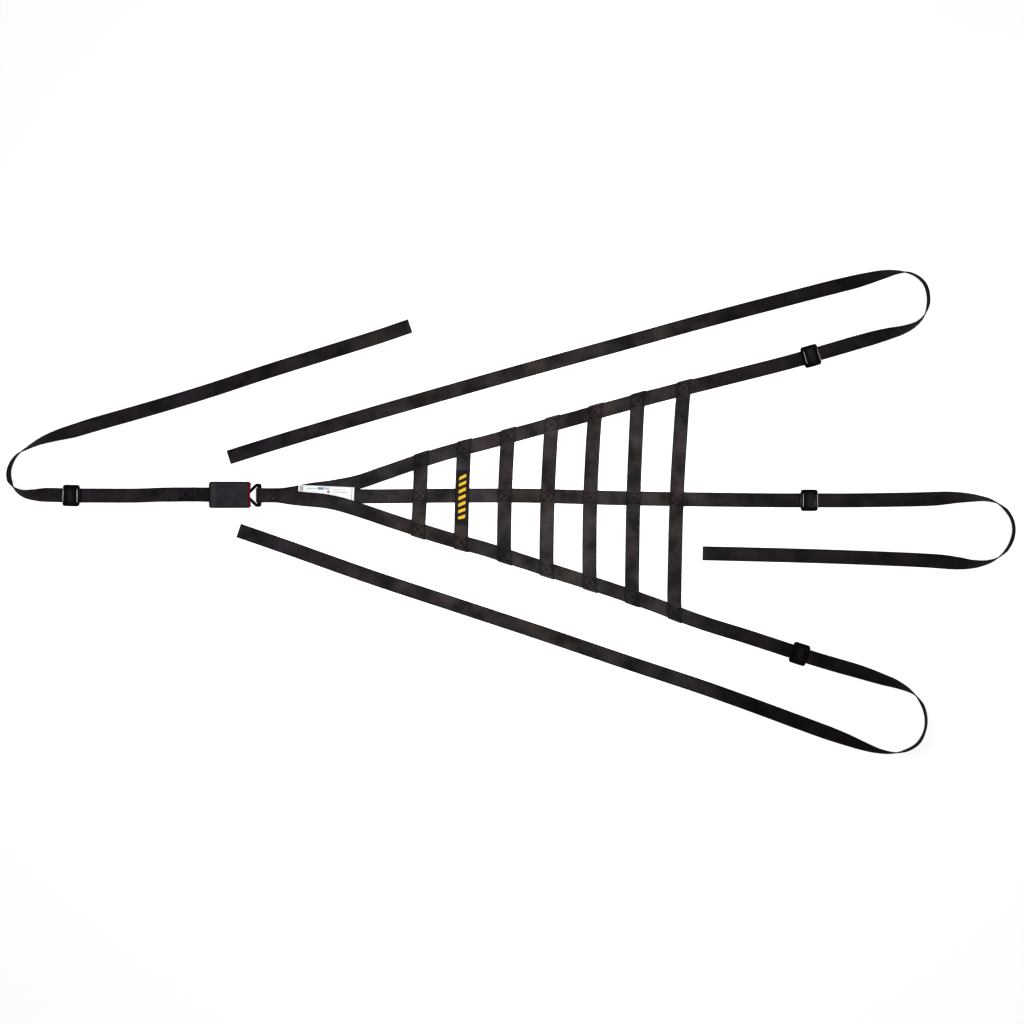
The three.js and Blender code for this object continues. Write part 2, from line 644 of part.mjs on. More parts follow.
/** Sections of the flat run of a rung, or of a strip raised above it, from yFrom down to yTo. */
function rungRun(rung, lifts, yFrom, yTo, { width = WEB_WIDTH, thick = WEB_THICK, raise = 0 } = {}) {
  const [low, middle, high] = lifts;
  const upperLean = lean(rung.upper.heading);
  const lowerLean = lean(rung.lower.heading);
  const centreAt = (y) => new THREE.Vector3(rungX(rung, y), y, rungHeight(rung, lifts, y));
  return rungPlaces(lifts, yFrom, yTo).map((y) => {
    const towardUpper = THREE.MathUtils.clamp((y - middle.to) / (high.from - middle.to), 0, 1);
    const towardLower = THREE.MathUtils.clamp((middle.from - y) / (middle.from - low.to), 0, 1);
    const across = along(upperLean * towardUpper + lowerLean * towardLower);
    const way = rungWay(rung, y, -1);
    const square = across.x * -way.y + across.y * way.x;
    const ahead = centreAt(y - 0.2).sub(centreAt(y + 0.2));
    const normal = ahead.clone().cross(across).normalize();
    return {
      centre: centreAt(y).addScaledVector(normal, raise),
      across: across.multiplyScalar(width / 2 / square),
      normal: normal.multiplyScalar(thick / 2),
    };
  });
}

RUNGS.forEach((rung, i) => {
  const top = foldedEnd(rung.upper, rungWay(rung, rung.yTop, 1), 1);
  const low = foldedEnd(rung.lower, rungWay(rung, rung.yLow, -1), -1);
  const lifts = rungLiftsAlong(rung, top.start.y, low.start.y);
  const END = 1.2;
  const run = rungRun(rung, lifts, top.start.y - END, low.start.y + END);
  const sections = [...top.sections.reverse(), ...run, ...low.sections];
  add(`rung_${i + 1}`, strapGeometry(sections), MATERIALS.webbing);
  if (i + 1 === BADGE.rung) {
    const raise = WEB_THICK / 2 + BADGE.clear + STRIP_THICK / 2;
    const strip = rungRun(rung, lifts, BADGE.yTop, BADGE.yBottom, {
      width: BADGE.width, thick: STRIP_THICK, raise,
    });
    add('badge', strapGeometry(strip), MATERIALS.badge);
  }
});

// The sewn label lies on the centre webbing, half under the lower half of the edge webbing.
const labelWay = along(radians(LABEL.turn));
const labelEnds = [-1, 1].map((end) => ({
  x: LABEL.x + (end * LABEL.length * labelWay.x) / 2,
  y: LABEL.y + (end * LABEL.length * labelWay.y) / 2,
  tilt: 0,
}));
const labelLift = [{ from: 0, to: LABEL.length, ramp: 1, height: labelTop - STRIP_THICK }];
const labelStrip = layStrap(labelEnds, labelLift, { width: LABEL.width, thick: STRIP_THICK, longest: 12 });
add('label', strapGeometry(labelStrip), MATERIALS.label);

/** A three-bar slide: a plate with two slots, its bars across the webbing. */
function slideGeometry() {
  const shape = roundedOutline(rectangle(0, 0, SLIDE.along / 2, SLIDE.across / 2, SLIDE.corner));
  const slot = SLIDE.along / 2 - SLIDE.outerBar - SLIDE.centreBar / 2;
  for (const end of [-1, 1]) {
    const x = end * (SLIDE.centreBar / 2 + slot / 2);
    shape.holes.push(roundedOutline(rectangle(x, 0, slot / 2, SLIDE.slotWidth / 2, 0.8), THREE.Path));
  }
  return plate(shape, SLIDE.z, SLIDE.thick, 0.6, 3);
}

for (const [name, { route, x, y }] of Object.entries(SLIDE_PLACES)) {
  const samples = survey(route);
  const { heading } = locate(samples, nearest(samples, x, y));
  const slide = add(name, slideGeometry(), MATERIALS.steel);
  slide.position.set(x, y, 0);
  slide.rotation.z = lean(heading);
}

// Latch tongue: 45 degree legs from the bar's ends to the blade, with the open triangle between them.
function tongueGeometry() {
  const slant = TONGUE.leg * Math.SQRT2;
  const shoulder = TONGUE.barLeft - 2.2;
  const neck = shoulder - (TONGUE.halfWidth - BLADE.halfWidth);
  const upperSide = [
    { x: TONGUE.barRight, y: TONGUE.halfWidth, r: 4.6 },
    { x: shoulder, y: TONGUE.halfWidth, r: 3 },
    { x: neck, y: BLADE.halfWidth, r: 2 },
    { x: BLADE.end + 2.5, y: BLADE.halfWidth, r: 0.8 },
    { x: BLADE.end, y: BLADE.halfWidth - 2.5, r: 0.8 },
  ];
  const lowerSide = upperSide.map((point) => ({ ...point, y: -point.y })).reverse();
  const shape = roundedOutline([...upperSide, ...lowerSide]);
  const windowHalf = TONGUE.halfWidth - slant + 2.2;
  const window = [
    { x: TONGUE.barLeft, y: windowHalf, r: 1 },
    { x: TONGUE.barLeft - windowHalf, y: 0, r: 1 },
    { x: TONGUE.barLeft, y: -windowHalf, r: 1 },
  ];
  shape.holes.push(roundedOutline(window, THREE.Path));
  shape.holes.push(roundedOutline(rectangle(BLADE.holeX, 0, BLADE.hole / 2, BLADE.hole / 2, 1), THREE.Path));
  return plate(shape, TONGUE.z - TONGUE.thick / 2, TONGUE.thick, 1.1, 4);
}
add('latch_tongue', tongueGeometry(), MATERIALS.steel).position.y = TONGUE.y;

/** Buckle housing: a rounded block, lower at the strap's end, with room for button, tongue, strap and bar. */
function housingGeometry() {
  const { left, right, y, halfWidth, height, wall } = HOUSING;
  const side = roundedOutline([
    { x: left, y: 0, r: 1.5 },
    { x: right, y: 0, r: 0.4 },
    { x: right, y: height, r: 0.4 },
    { x: left + 13, y: height, r: 7 },
    { x: left, y: height - 6, r: 4 },
  ]);
  const plan = roundedOutline([
    { x: left, y: -halfWidth, r: 4.5 },
    { x: right, y: -halfWidth, r: 1 },
    { x: right, y: halfWidth, r: 1 },
    { x: left, y: halfWidth, r: 4.5 },
  ]);
  const face = roundedOutline([
    { x: -halfWidth, y: 0, r: 1 },
    { x: halfWidth, y: 0, r: 1 },
    { x: halfWidth, y: height, r: 2.6 },
    { x: -halfWidth, y: height, r: 2.6 },
  ]);
  const SPARE = 5;
  const sideBlock = plate(side, -halfWidth - SPARE, 2 * (halfWidth + SPARE), 0, 5).rotateX(Math.PI / 2);
  const planBlock = plate(plan, -SPARE, height + 2 * SPARE, 0, 5);
  const faceBlock = plate(face, left - SPARE, right - left + 2 * SPARE, 0, 4).rotateX(Math.PI / 2)
    .rotateZ(Math.PI / 2);
  const body = solid(sideBlock).intersect(solid(planBlock)).intersect(solid(faceBlock)).translate(0, y, 0);
  const pocket = halfWidth - wall;
  const { back, low, high, clear, travel } = BUTTON;
  const strapRoom = WEB_WIDTH / 2 + 0.7;
  const strapTop = ANCHOR.z + anchorWrap + WEB_THICK / 2 + 2 * GAP;
  const strapLow = ANCHOR.z - anchorWrap - WEB_THICK / 2 - 2 * GAP;
  const anchorRoom = ANCHOR.radius + GAP;
  const anchorHole = new THREE.CylinderGeometry(anchorRoom, anchorRoom, ANCHOR.length + 2 * GAP, 24);
  anchorHole.translate(ANCHOR.x, y, 0).translate(0, 0, ANCHOR.z);
  const rooms = [
    block([back - travel - 1, y - pocket, low - clear], [right + 2, y + pocket, high + clear]),
    block([BLADE.end - 1, TONGUE.y - BLADE.halfWidth - 1, TONGUE.z - TONGUE.thick / 2 - GAP],
      [right + 2, TONGUE.y + BLADE.halfWidth + 1, TONGUE.z + TONGUE.thick / 2 + GAP]),
    block([left - 2, y - strapRoom, strapLow], [ANCHOR.x + anchorWrap + 1.2, y + strapRoom, strapTop]),
    anchorHole,
  ];
  return geometryOf(rooms.reduce((rest, room) => rest.subtract(solid(room)), body));
}
add('buckle_housing', housingGeometry(), MATERIALS.housing);

/** Release button: fills the mouth of the housing, its face a little hollow in plan. */
function buttonGeometry() {
  const half = HOUSING.halfWidth - HOUSING.wall - BUTTON.clear;
  const HOLLOW = 0.8;
  const shape = new THREE.Shape();
  shape.moveTo(BUTTON.back, -half);
  shape.lineTo(BUTTON.front - 1.2, -half);
  shape.quadraticCurveTo(BUTTON.front, -half, BUTTON.front, -half + 1.2);
  shape.quadraticCurveTo(BUTTON.front - 2 * HOLLOW, 0, BUTTON.front, half - 1.2);
  shape.quadraticCurveTo(BUTTON.front, half, BUTTON.front - 1.2, half);
  shape.lineTo(BUTTON.back, half);
  shape.closePath();
  return plate(shape, BUTTON.low, BUTTON.high - BUTTON.low, 0.6, 6);
}
add('release_button', buttonGeometry(), MATERIALS.button).position.y = HOUSING.y;

// Anchor bar that holds the sewn loop of the buckle webbing
const anchor = new THREE.CylinderGeometry(ANCHOR.radius, ANCHOR.radius, ANCHOR.length, 24);
add('anchor_bar', anchor, MATERIALS.steel).position.set(ANCHOR.x, HOUSING.y, ANCHOR.z);

export default net;
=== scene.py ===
"""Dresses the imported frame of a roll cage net: flat polyester webbing, painted steel slides and ring,
a moulded buckle with a red button, a woven label and a woven badge. The camera looks straight down."""

import math
from contextlib import contextmanager
from types import SimpleNamespace

import bmesh
import bpy
import numpy as np
from mathutils import Matrix, Vector


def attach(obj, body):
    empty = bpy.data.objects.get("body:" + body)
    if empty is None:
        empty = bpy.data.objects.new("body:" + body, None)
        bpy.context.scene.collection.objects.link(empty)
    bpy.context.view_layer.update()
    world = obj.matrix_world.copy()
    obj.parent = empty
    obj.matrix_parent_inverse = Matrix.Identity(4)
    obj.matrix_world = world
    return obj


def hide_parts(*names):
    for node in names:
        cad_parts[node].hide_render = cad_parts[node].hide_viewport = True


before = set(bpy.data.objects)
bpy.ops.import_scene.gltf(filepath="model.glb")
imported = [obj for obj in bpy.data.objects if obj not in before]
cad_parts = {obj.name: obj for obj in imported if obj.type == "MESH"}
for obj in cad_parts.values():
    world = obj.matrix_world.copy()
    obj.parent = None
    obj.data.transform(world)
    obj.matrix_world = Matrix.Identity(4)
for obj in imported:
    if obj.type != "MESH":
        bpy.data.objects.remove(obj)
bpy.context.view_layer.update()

MM = 0.001

# Webbing and its layers, in millimetres, as the frame has them
WEB_WIDTH = 25.0
WEB_THICK = 1.4
GAP = 0.3
LAYER = WEB_THICK + GAP
FLOOR = WEB_THICK / 2
STACK = [FLOOR, FLOOR + LAYER, FLOOR + 2 * LAYER]
SECTION_STEP = 1.05

# The weft's loops along each edge: pitch, depth, and how far they stand out of the cut width. EDGE_SWELL is
# the share by which the webbing is drawn thicker where it stands on its edge
EDGE_LOOP_PITCH = 4.2
EDGE_LOOP_DEPTH = 0.2
EDGE_STAND = 0.45
EDGE_SWELL = 0.6

# Woven strips: the label by its middle, turned by degrees, and the badge by the rung that it lies on
STRIP_THICK = 1.0
LABEL = SimpleNamespace(x=-336.6, y=34.6, length=101.0, width=24.6, turn=-2.6)
BADGE = SimpleNamespace(rung=1, y_top=75.5, y_bottom=-22.8, width=23.0, clear=0.5)

# A rung's end, folded round the edge webbing and sewn underneath
FOLD_RADIUS = LAYER
FOLD_REACH = 1.1
FOLD_OUTSET = 0.25
FLAP_LENGTH = 21.0

# Steel and plastic pieces; steel is drawn with a coat of enamel
ENAMEL = 0.4
SLIDE = SimpleNamespace(along=30.8, across=38.4, corner=5.5, outer_bar=5.3, centre_bar=4.6, z=1.9, thick=2.4)
TONGUE = SimpleNamespace(
    y=30.3, z=5.0, thick=4.0, bar_left=-461.2, bar_right=-453.5, half_width=20.8, leg=4.8)
BLADE = SimpleNamespace(half_width=8.0, end=-502.0, hole=7.0, hole_x=-492.0)
HOUSING = SimpleNamespace(left=-547.7, right=-475.6, y=31.0, half_width=23.75, height=21.0, wall=1.2)
BUTTON = SimpleNamespace(back=-487.8, front=-471.4, low=8.8, high=18.6, clear=0.35, travel=5.0)
ANCHOR = SimpleNamespace(x=-536.0, z=6.5, radius=2.5, length=36.0)

# Routes of the webbing in plan: (x, y, tilt), tilt being the degrees that it stands up on its left edge
UPPER_ROUTE = [
    (-513.5, 98.9, 0), (-428.5, 125.5, 0), (-272.2, 172.1, 0), (-115.5, 217.3, 0), (41.4, 261.6, 0),
    (198.6, 304.8, 0), (338.5, 343.6, 0), (496.3, 385.3, 0), (575.2, 405.8, 0), (622.6, 417.2, 15),
    (667.9, 428.7, 46), (690.0, 432.9, 66), (712.3, 432.7, 84), (731.8, 424.5, 85), (745.0, 411.0, 87),
    (750.9, 391.9, 88), (750.3, 371.7, 88), (742.9, 353.1, 79), (729.0, 339.1, 73), (707.9, 329.2, 57),
    (680.3, 322.0, 35), (650.6, 314.1, 17), (608.8, 302.4, 5), (566.7, 290.1, 0), (540.7, 282.4, 0),
    (482.2, 266.4, 0), (377.0, 239.9, 0), (250.6, 207.8, 0), (96.7, 165.1, 0), (-48.3, 125.6, 0),
    (-120.8, 106.8, 0), (-193.3, 83.5, 0), (-238.6, 67.6, 0), (-280.2, 53.9, 0), (-323.8, 45.3, 0),
    (-365.5, 39.6, 0), (-395.0, 34.0, 0), (-423.4, 30.2, 0), (-440.0, 30.3, 0), (-459.7, 30.3, 0),
]
LOWER_ROUTE = [
    (-459.7, 30.3, 0), (-440.0, 30.3, 0), (-423.4, 29.6, 0), (-402.0, 26.4, 0), (-376.0, 23.4, 0),
    (-340.0, 20.0, 0), (-314.7, 15.0, 0), (-282.1, 5.4, 0), (-220.4, -15.4, 0), (-120.8, -47.2, 0),
    (-48.2, -67.2, 0), (24.3, -90.9, 0), (96.6, -114.4, 0), (169.2, -137.2, 0), (250.7, -165.4, 0),
    (341.2, -199.3, 0), (425.7, -225.8, 0), (520.2, -256.8, 0), (543.9, -264.5, 0), (585.8, -277.0, 2),
    (627.8, -288.9, 17), (669.7, -302.5, 39), (697.4, -311.9, 59), (722.2, -325.5, 81), (738.6, -345.0, 91),
    (746.4, -369.1, 87), (744.8, -393.9, 83), (732.6, -417.1, 86), (710.8, -430.5, 87), (688.0, -434.8, 79),
    (661.1, -431.3, 67), (633.6, -422.7, 49), (604.1, -411.6, 29), (572.2, -400.1, 11), (529.8, -384.7, 0),
    (419.1, -343.8, 0), (342.3, -316.6, 0), (207.1, -271.8, 0), (53.0, -219.5, 0), (-101.9, -168.4, 0),
    (-256.9, -117.3, 0), (-410.6, -62.9, 0), (-495.4, -33.5, 0),
]
CENTRE_ROUTE = [
    (-441.0, 30.3, 0), (-387.0, 30.8, 0), (-320.0, 29.6, 0), (-256.6, 28.4, 0), (-124.4, 29.6, 0),
    (27.8, 29.5, 0), (180.0, 25.5, 0), (341.2, 22.7, 0), (493.4, 21.1, 0), (537.7, 21.2, 0),
    (607.5, 21.1, 0), (683.6, 22.0, 0), (757.9, 23.7, 5), (796.5, 26.1, 33), (823.2, 26.2, 51),
    (847.3, 24.7, 69), (871.0, 18.6, 79), (889.8, 5.2, 89), (901.6, -12.7, 86), (905.4, -32.0, 85),
    (901.5, -51.8, 87), (890.5, -70.8, 86), (873.2, -84.9, 78), (852.6, -92.3, 67), (829.7, -94.4, 50),
    (805.0, -92.7, 25), (775.0, -89.6, 4), (728.9, -86.8, 0), (620.2, -82.3, 0), (511.5, -78.8, 0),
    (402.8, -76.1, 0), (344.8, -74.8, 0),
]
BUCKLE_FLAP_ROUTE = [(-628.0, 31.2, 0), (-580.0, 31.8, 0), (-550.0, 31.4, 0), (ANCHOR.x, HOUSING.y, 0)]
BUCKLE_ROUTE = [
    (ANCHOR.x, HOUSING.y, 0), (-550.0, 31.4, 0), (-580.0, 31.8, 0), (-628.0, 31.5, 0), (-682.3, 29.7, 0),
    (-763.9, 29.8, 0), (-798.2, 29.8, 0), (-818.4, 30.5, 0), (-841.0, 31.0, 6), (-862.5, 30.6, 36),
    (-882.1, 32.9, 57), (-897.5, 41.6, 73), (-906.3, 55.3, 93), (-908.3, 72.1, 91), (-903.2, 89.2, 88),
    (-892.0, 104.6, 83), (-873.9, 116.4, 71), (-852.2, 127.9, 56), (-824.8, 138.0, 35), (-794.9, 146.5, 14),
    (-757.2, 158.3, 0), (-652.7, 188.1, 0), (-548.7, 219.7, 0), (-445.7, 253.6, 0), (-341.8, 286.2, 0),
    (-238.0, 318.8, 0), (-184.6, 337.1, 0),
]

# Rungs: centre x at the net's upper edge, middle and lower edge, y of the two edges, and how far the free
# stretches above and below the centre webbing arch off the floor
RUNG_COLUMNS = ("x_top", "x_mid", "x_low", "y_top", "y_low", "arch_up", "arch_down")
RUNG_ROWS = [
    (-165.2, -167.2, -170.3, 90, -33, 0.4, 0.4),
    (-87.1, -90.6, -92.4, 116, -58, 0.5, 0.6),
    (-7.8, -13.2, -14.7, 136, -79, 1.2, 1.6),
    (71.4, 64.3, 62.1, 158, -105, 1.6, 2.4),
    (150.3, 141.6, 140.3, 180, -129, 2.0, 3.0),
    (227.4, 219.7, 216.9, 202, -155, 2.4, 3.6),
    (310.6, 298.1, 293.5, 222, -183, 2.6, 4.2),
]
RUNGS = [SimpleNamespace(**dict(zip(RUNG_COLUMNS, row))) for row in RUNG_ROWS]
Y_MID = 27.0

UP = np.array([0.0, 0.0, 1.0])


def survey(rows):
    """A route's smooth plan curve, sampled closely: distance along it, place, heading and tilt."""
    steps = 24
    points = np.array([row[:2] for row in rows], float)
    tilts = np.array([row[2] for row in rows], float)
    before = 2 * points[0] - points[1]
    after = 2 * points[-1] - points[-2]
    ring = np.vstack([before, points, after])
    places, headings, tilt = [], [], []
    for i in range(len(points) - 1):
        p0, p1, p2, p3 = ring[i:i + 4]
        d0, d1, d2 = (np.linalg.norm(b - a) ** 0.5 for a, b in ((p0, p1), (p1, p2), (p2, p3)))
        m1 = d1 * ((p1 - p0) / d0 - (p2 - p0) / (d0 + d1) + (p2 - p1) / d1)
        m2 = d1 * ((p2 - p1) / d1 - (p3 - p1) / (d1 + d2) + (p3 - p2) / d2)
        last = i == len(points) - 2
        for t in np.arange(steps + last) / steps:
            c2 = -3 * p1 + 3 * p2 - 2 * m1 - m2
            c3 = 2 * p1 - 2 * p2 + m1 + m2
            places.append(p1 + m1 * t + c2 * t ** 2 + c3 * t ** 3)
            heading = m1 + 2 * c2 * t + 3 * c3 * t ** 2
            headings.append(heading / np.linalg.norm(heading))
            tilt.append(tilts[i] + (tilts[i + 1] - tilts[i]) * t)
    places, headings = np.array(places), np.array(headings)
    at = np.concatenate([[0], np.cumsum(np.linalg.norm(np.diff(places, axis=0), axis=1))])
    return SimpleNamespace(at=at, places=places, headings=headings, tilt=np.array(tilt), length=at[-1])


def locate(route, at):
    """Place, heading and tilt of a surveyed route at distances along it."""
    place = np.stack([np.interp(at, route.at, route.places[:, k]) for k in (0, 1)], -1)
    heading = np.stack([np.interp(at, route.at, route.headings[:, k]) for k in (0, 1)], -1)
    heading /= np.linalg.norm(heading, axis=-1, keepdims=True)
    return place, heading, np.interp(at, route.at, route.tilt)


def lean_of(heading):
    """Angle from the X axis of a line that runs along a heading, whichever way it goes."""
    return math.atan(heading[1] / heading[0])


def nearest(route, x, y):
    """Distance along a surveyed route of its nearest sample to a point."""
    return route.at[np.argmin(np.hypot(route.places[:, 0] - x, route.places[:, 1] - y))]


def lifted(lifts, at):
    """Height that lifts (start, stop, ramp, height) give at distances, with a soft ramp at each end."""
    height = np.zeros_like(at, float)
    for start, stop, ramp, rise in lifts:
        outside = np.maximum(np.maximum(start - at, at - stop), 0) / ramp
        height = np.maximum(height, rise * (1 + np.cos(np.pi * np.clip(outside, 0, 1))) / 2)
    return height


def lift_at(route, x, y, ramp, height, before=0.0, after=0.0):
    """A lift of a route from before to after its nearest sample to a point."""
    at = nearest(route, x, y)
    return at - before, at + after, ramp, height


def spread(vectors):
    """Plan vectors with a third coordinate of nought."""
    return np.concatenate([vectors, np.zeros(vectors.shape[:-1] + (1,))], -1)


def lay_strap(route, lifts, side=1, thick=WEB_THICK, width=WEB_WIDTH, step=SECTION_STEP):
    """Sections of a strap laid along a route: centre, across to its left edge and face. side -1 gives the
    same strap from its other face. Where it stands on edge it opens a little: its face vector is longer."""
    def centre_at(at):
        place, _, tilt = locate(route, at)
        turn = np.radians(tilt)
        rest = width / 2 * np.sin(turn) + thick / 2 * np.abs(np.cos(turn))
        return np.concatenate([place, (rest + lifted(lifts, at))[:, None]], -1)

    at = np.linspace(0, route.length, max(2, round(route.length / step)) + 1)
    _, heading, tilt = locate(route, at)
    turn = np.radians(tilt)[:, None]
    left = spread(np.stack([-heading[:, 1], heading[:, 0]], -1))
    across = left * np.cos(turn) - UP * np.sin(turn)
    ahead = centre_at(at + 0.2) - centre_at(at - 0.2)
    ends = [0, -1]
    ahead[ends] = spread(heading)[ends]
    ahead -= across * (ahead * across).sum(-1, keepdims=True)
    ahead /= np.linalg.norm(ahead, axis=-1, keepdims=True)
    face = np.cross(ahead, across) * (1 + EDGE_SWELL * np.sin(turn) ** 2)
    return centre_at(at), side * across, side * face


def wrap_bar(x, y, z, radius, reach, across, steps=14):
    """Sections round a bar that lies along Y, from under it to over it, on its +X or -X side."""
    angles = np.pi * np.arange(1, steps) / steps
    out = np.stack([reach * np.sin(angles), np.zeros_like(angles), -np.cos(angles)], -1)
    centre = np.array([x, y, z]) + out * radius
    return centre, np.tile(np.array(across, float), (len(angles), 1)), -out


def joined(*runs):
    """One run of sections from several, without a repeated section where they meet."""
    return tuple(np.concatenate(columns) for columns in zip(*runs))


def rung_x(rung, y):
    """A rung's centre x at y, on the parabola through its three measured places."""
    top, low = rung.y_top, rung.y_low
    high = (y - Y_MID) * (y - low) / ((top - Y_MID) * (top - low))
    mid = (y - top) * (y - low) / ((Y_MID - top) * (Y_MID - low))
    deep = (y - top) * (y - Y_MID) / ((low - top) * (low - Y_MID))
    return rung.x_top * high + rung.x_mid * mid + rung.x_low * deep


def crossing(route, rung):
    """Where a rung's centre line meets a route on the net's side of it: distance, place and heading."""
    offset = route.places[:, 0] - rung_x(rung, route.places[:, 1])
    found = np.where(offset[:-1] * offset[1:] <= 0)[0]
    i = min(found, key=lambda k: abs(route.places[k + 1, 1]))
    at = route.at[i] + (route.at[i + 1] - route.at[i]) * offset[i] / (offset[i] - offset[i + 1])
    place, heading, _ = locate(route, at)
    return SimpleNamespace(at=at, place=place, heading=heading, lean=lean_of(heading))


upper = survey(UPPER_ROUTE)
lower = survey(LOWER_ROUTE)
centre = survey(CENTRE_ROUTE)
buckle_flap = survey(BUCKLE_FLAP_ROUTE)
buckle = survey(BUCKLE_ROUTE)
for rung in RUNGS:
    rung.upper = crossing(upper, rung)
    rung.middle = crossing(centre, rung)
    rung.lower = crossing(lower, rung)

SLIDE_PLACES = {
    "slide_upper": (upper, 540.7, 282.4),
    "slide_middle": (centre, 537.7, 21.2),
    "slide_lower": (lower, 520.2, -256.8),
    "slide_left": (buckle, -798.2, 29.8),
}


def slide_lift(name):
    route, x, y = SLIDE_PLACES[name]
    half = SLIDE.centre_bar / 2 + 0.5
    return lift_at(route, x, y, ramp=7, height=SLIDE.z + SLIDE.thick + GAP, before=half, after=half)


# How far the edge webbing is held up by a rung's folded end, either side of their crossing
COVER_LEFT = 22
COVER_RIGHT = 32
COVER_RAMP = 9
# Where the edge webbing turns round the ring's bar, and its heights under and over it
RING_PLACE = (-459.7, 30.3)
bar_under = TONGUE.z - TONGUE.thick / 2 - GAP - WEB_THICK / 2
bar_over = TONGUE.z + TONGUE.thick / 2 + GAP + WEB_THICK / 2
label_top = STACK[1] + WEB_THICK / 2 + GAP + STRIP_THICK
anchor_wrap = ANCHOR.radius + GAP + WEB_THICK / 2


def edge_sections():
    over_rungs = [(r.upper.at - COVER_RIGHT, r.upper.at + COVER_LEFT, COVER_RAMP, LAYER) for r in RUNGS]
    upper_lifts = [
        slide_lift("slide_upper"),
        *over_rungs,
        lift_at(upper, -237, 68, ramp=19, height=4.6, before=3, after=3),
        lift_at(upper, *RING_PLACE, ramp=10, height=bar_under - FLOOR, before=7),
    ]
    over_rungs = [(r.lower.at - COVER_LEFT, r.lower.at + COVER_RIGHT, COVER_RAMP, LAYER) for r in RUNGS]
    lower_lifts = [
        lift_at(lower, *RING_PLACE, ramp=17, height=bar_over - FLOOR, after=7),
        lift_at(lower, -365, 22.5, ramp=24, height=STACK[2] - FLOOR, before=95, after=95),
        lift_at(lower, -340, 20, ramp=12, height=label_top + GAP, before=52, after=52),
        *over_rungs,
        slide_lift("slide_lower"),
    ]
    round_bar = wrap_bar(RING_PLACE[0], TONGUE.y, TONGUE.z, (bar_over - bar_under) / 2, -1, (0, -1, 0))
    return joined(lay_strap(upper, upper_lifts), round_bar, lay_strap(lower, lower_lifts, side=-1))


def centre_sections():
    lifts = [lift_at(centre, -441, 30.3, ramp=12, height=LAYER, after=168), slide_lift("slide_middle")]
    return lay_strap(centre, lifts)


def buckle_sections():
    under, over = (ANCHOR.z + sign * anchor_wrap - FLOOR for sign in (-1, 1))
    flap_lifts = [lift_at(buckle_flap, ANCHOR.x, HOUSING.y, ramp=26, height=under, before=10)]
    lifts = [
        lift_at(buckle, ANCHOR.x, HOUSING.y, ramp=32, height=over, after=10),
        lift_at(buckle, -596, 31.7, ramp=10, height=LAYER, before=36, after=36),
        slide_lift("slide_left"),
    ]
    round_bar = wrap_bar(ANCHOR.x, HOUSING.y, ANCHOR.z, anchor_wrap, 1, (0, 1, 0))
    return joined(lay_strap(buckle_flap, flap_lifts), round_bar, lay_strap(buckle, lifts, side=-1))


def rung_way(rung, y, sign):
    way = np.array([rung_x(rung, y + sign) - rung_x(rung, y), sign, 0.0])
    return way / np.linalg.norm(way)


def folded_end(crossed, way, outward):
    """A rung's fold round the edge webbing and its flap underneath, from the fold's top outwards."""
    u = np.array([math.cos(crossed.lean), math.sin(crossed.lean), 0.0])
    n = outward * np.array([-u[1], u[0], 0.0])
    square = way @ n
    slip = (way @ u) / square
    start = spread(crossed.place) + way * (WEB_WIDTH / 2 + FOLD_OUTSET) / square
    angles = np.linspace(0, np.pi, 15)
    rows = [(FOLD_RADIUS * a, FOLD_REACH * math.sin(a), a) for a in angles]
    flap = np.linspace(0, FLAP_LENGTH, 21)[1:]
    rows += [(FOLD_RADIUS * np.pi + length, -length, np.pi) for length in flap]
    centres, faces = [], []
    for run, out, angle in rows:
        spot = start + u * run * slip + n * out
        centres.append([spot[0], spot[1], STACK[1] + FOLD_RADIUS * math.cos(angle)])
        faces.append(n * math.sin(angle) + UP * math.cos(angle))
    return start, (np.array(centres), np.tile(u / square, (len(rows), 1)), np.array(faces))


def rung_lifts(rung, y_top, y_low):
    """A rung's lifts (start, stop, ramp, height) in y: over the lower edge, the centre and the upper edge."""
    over_edge, edge_ramp = 28, 14
    over_centre, centre_ramp = 16.5, 9
    middle = rung.middle.place[1]
    return [
        (y_low, y_low + over_edge, edge_ramp, STACK[2] - FLOOR),
        (middle - over_centre, middle + over_centre, centre_ramp, LAYER),
        (y_top - over_edge, y_top, edge_ramp, STACK[2] - FLOOR),
    ]


def rung_height(rung, lifts, y):
    low, middle, high = lifts
    above = y > (middle[0] + middle[1]) / 2
    start = np.where(above, middle[1], low[1])
    stop = np.where(above, high[0], middle[0])
    arch = np.where(above, rung.arch_up, rung.arch_down)
    t = np.clip((y - start) / (stop - start), 0, 1)
    return FLOOR + np.maximum(lifted(lifts, y), arch * np.sin(np.pi * t) ** 2)


def rung_run(rung, lifts, y_from, y_to, lift_off=0.0):
    """Sections of a rung's flat run, or of a strip raised above it, from y_from down to y_to."""
    low, middle, high = lifts
    y = np.linspace(y_from, y_to, max(2, round((y_from - y_to) / SECTION_STEP)) + 1)

    def centre_at(y):
        return np.stack([rung_x(rung, y), y, rung_height(rung, lifts, y)], -1)

    toward_upper = np.clip((y - middle[1]) / (high[0] - middle[1]), 0, 1)
    toward_lower = np.clip((middle[0] - y) / (middle[0] - low[1]), 0, 1)
    lean = rung.upper.lean * toward_upper + rung.lower.lean * toward_lower
    across = np.stack([np.cos(lean), np.sin(lean), np.zeros_like(lean)], -1)
    way = centre_at(y - 1) - centre_at(y)
    way[:, 2] = 0
    way /= np.linalg.norm(way, axis=-1, keepdims=True)
    square = across[:, 0] * -way[:, 1] + across[:, 1] * way[:, 0]
    ahead = centre_at(y - 0.2) - centre_at(y + 0.2)
    face = np.cross(ahead, across)
    face /= np.linalg.norm(face, axis=-1, keepdims=True)
    return centre_at(y) + face * lift_off, across / square[:, None], face


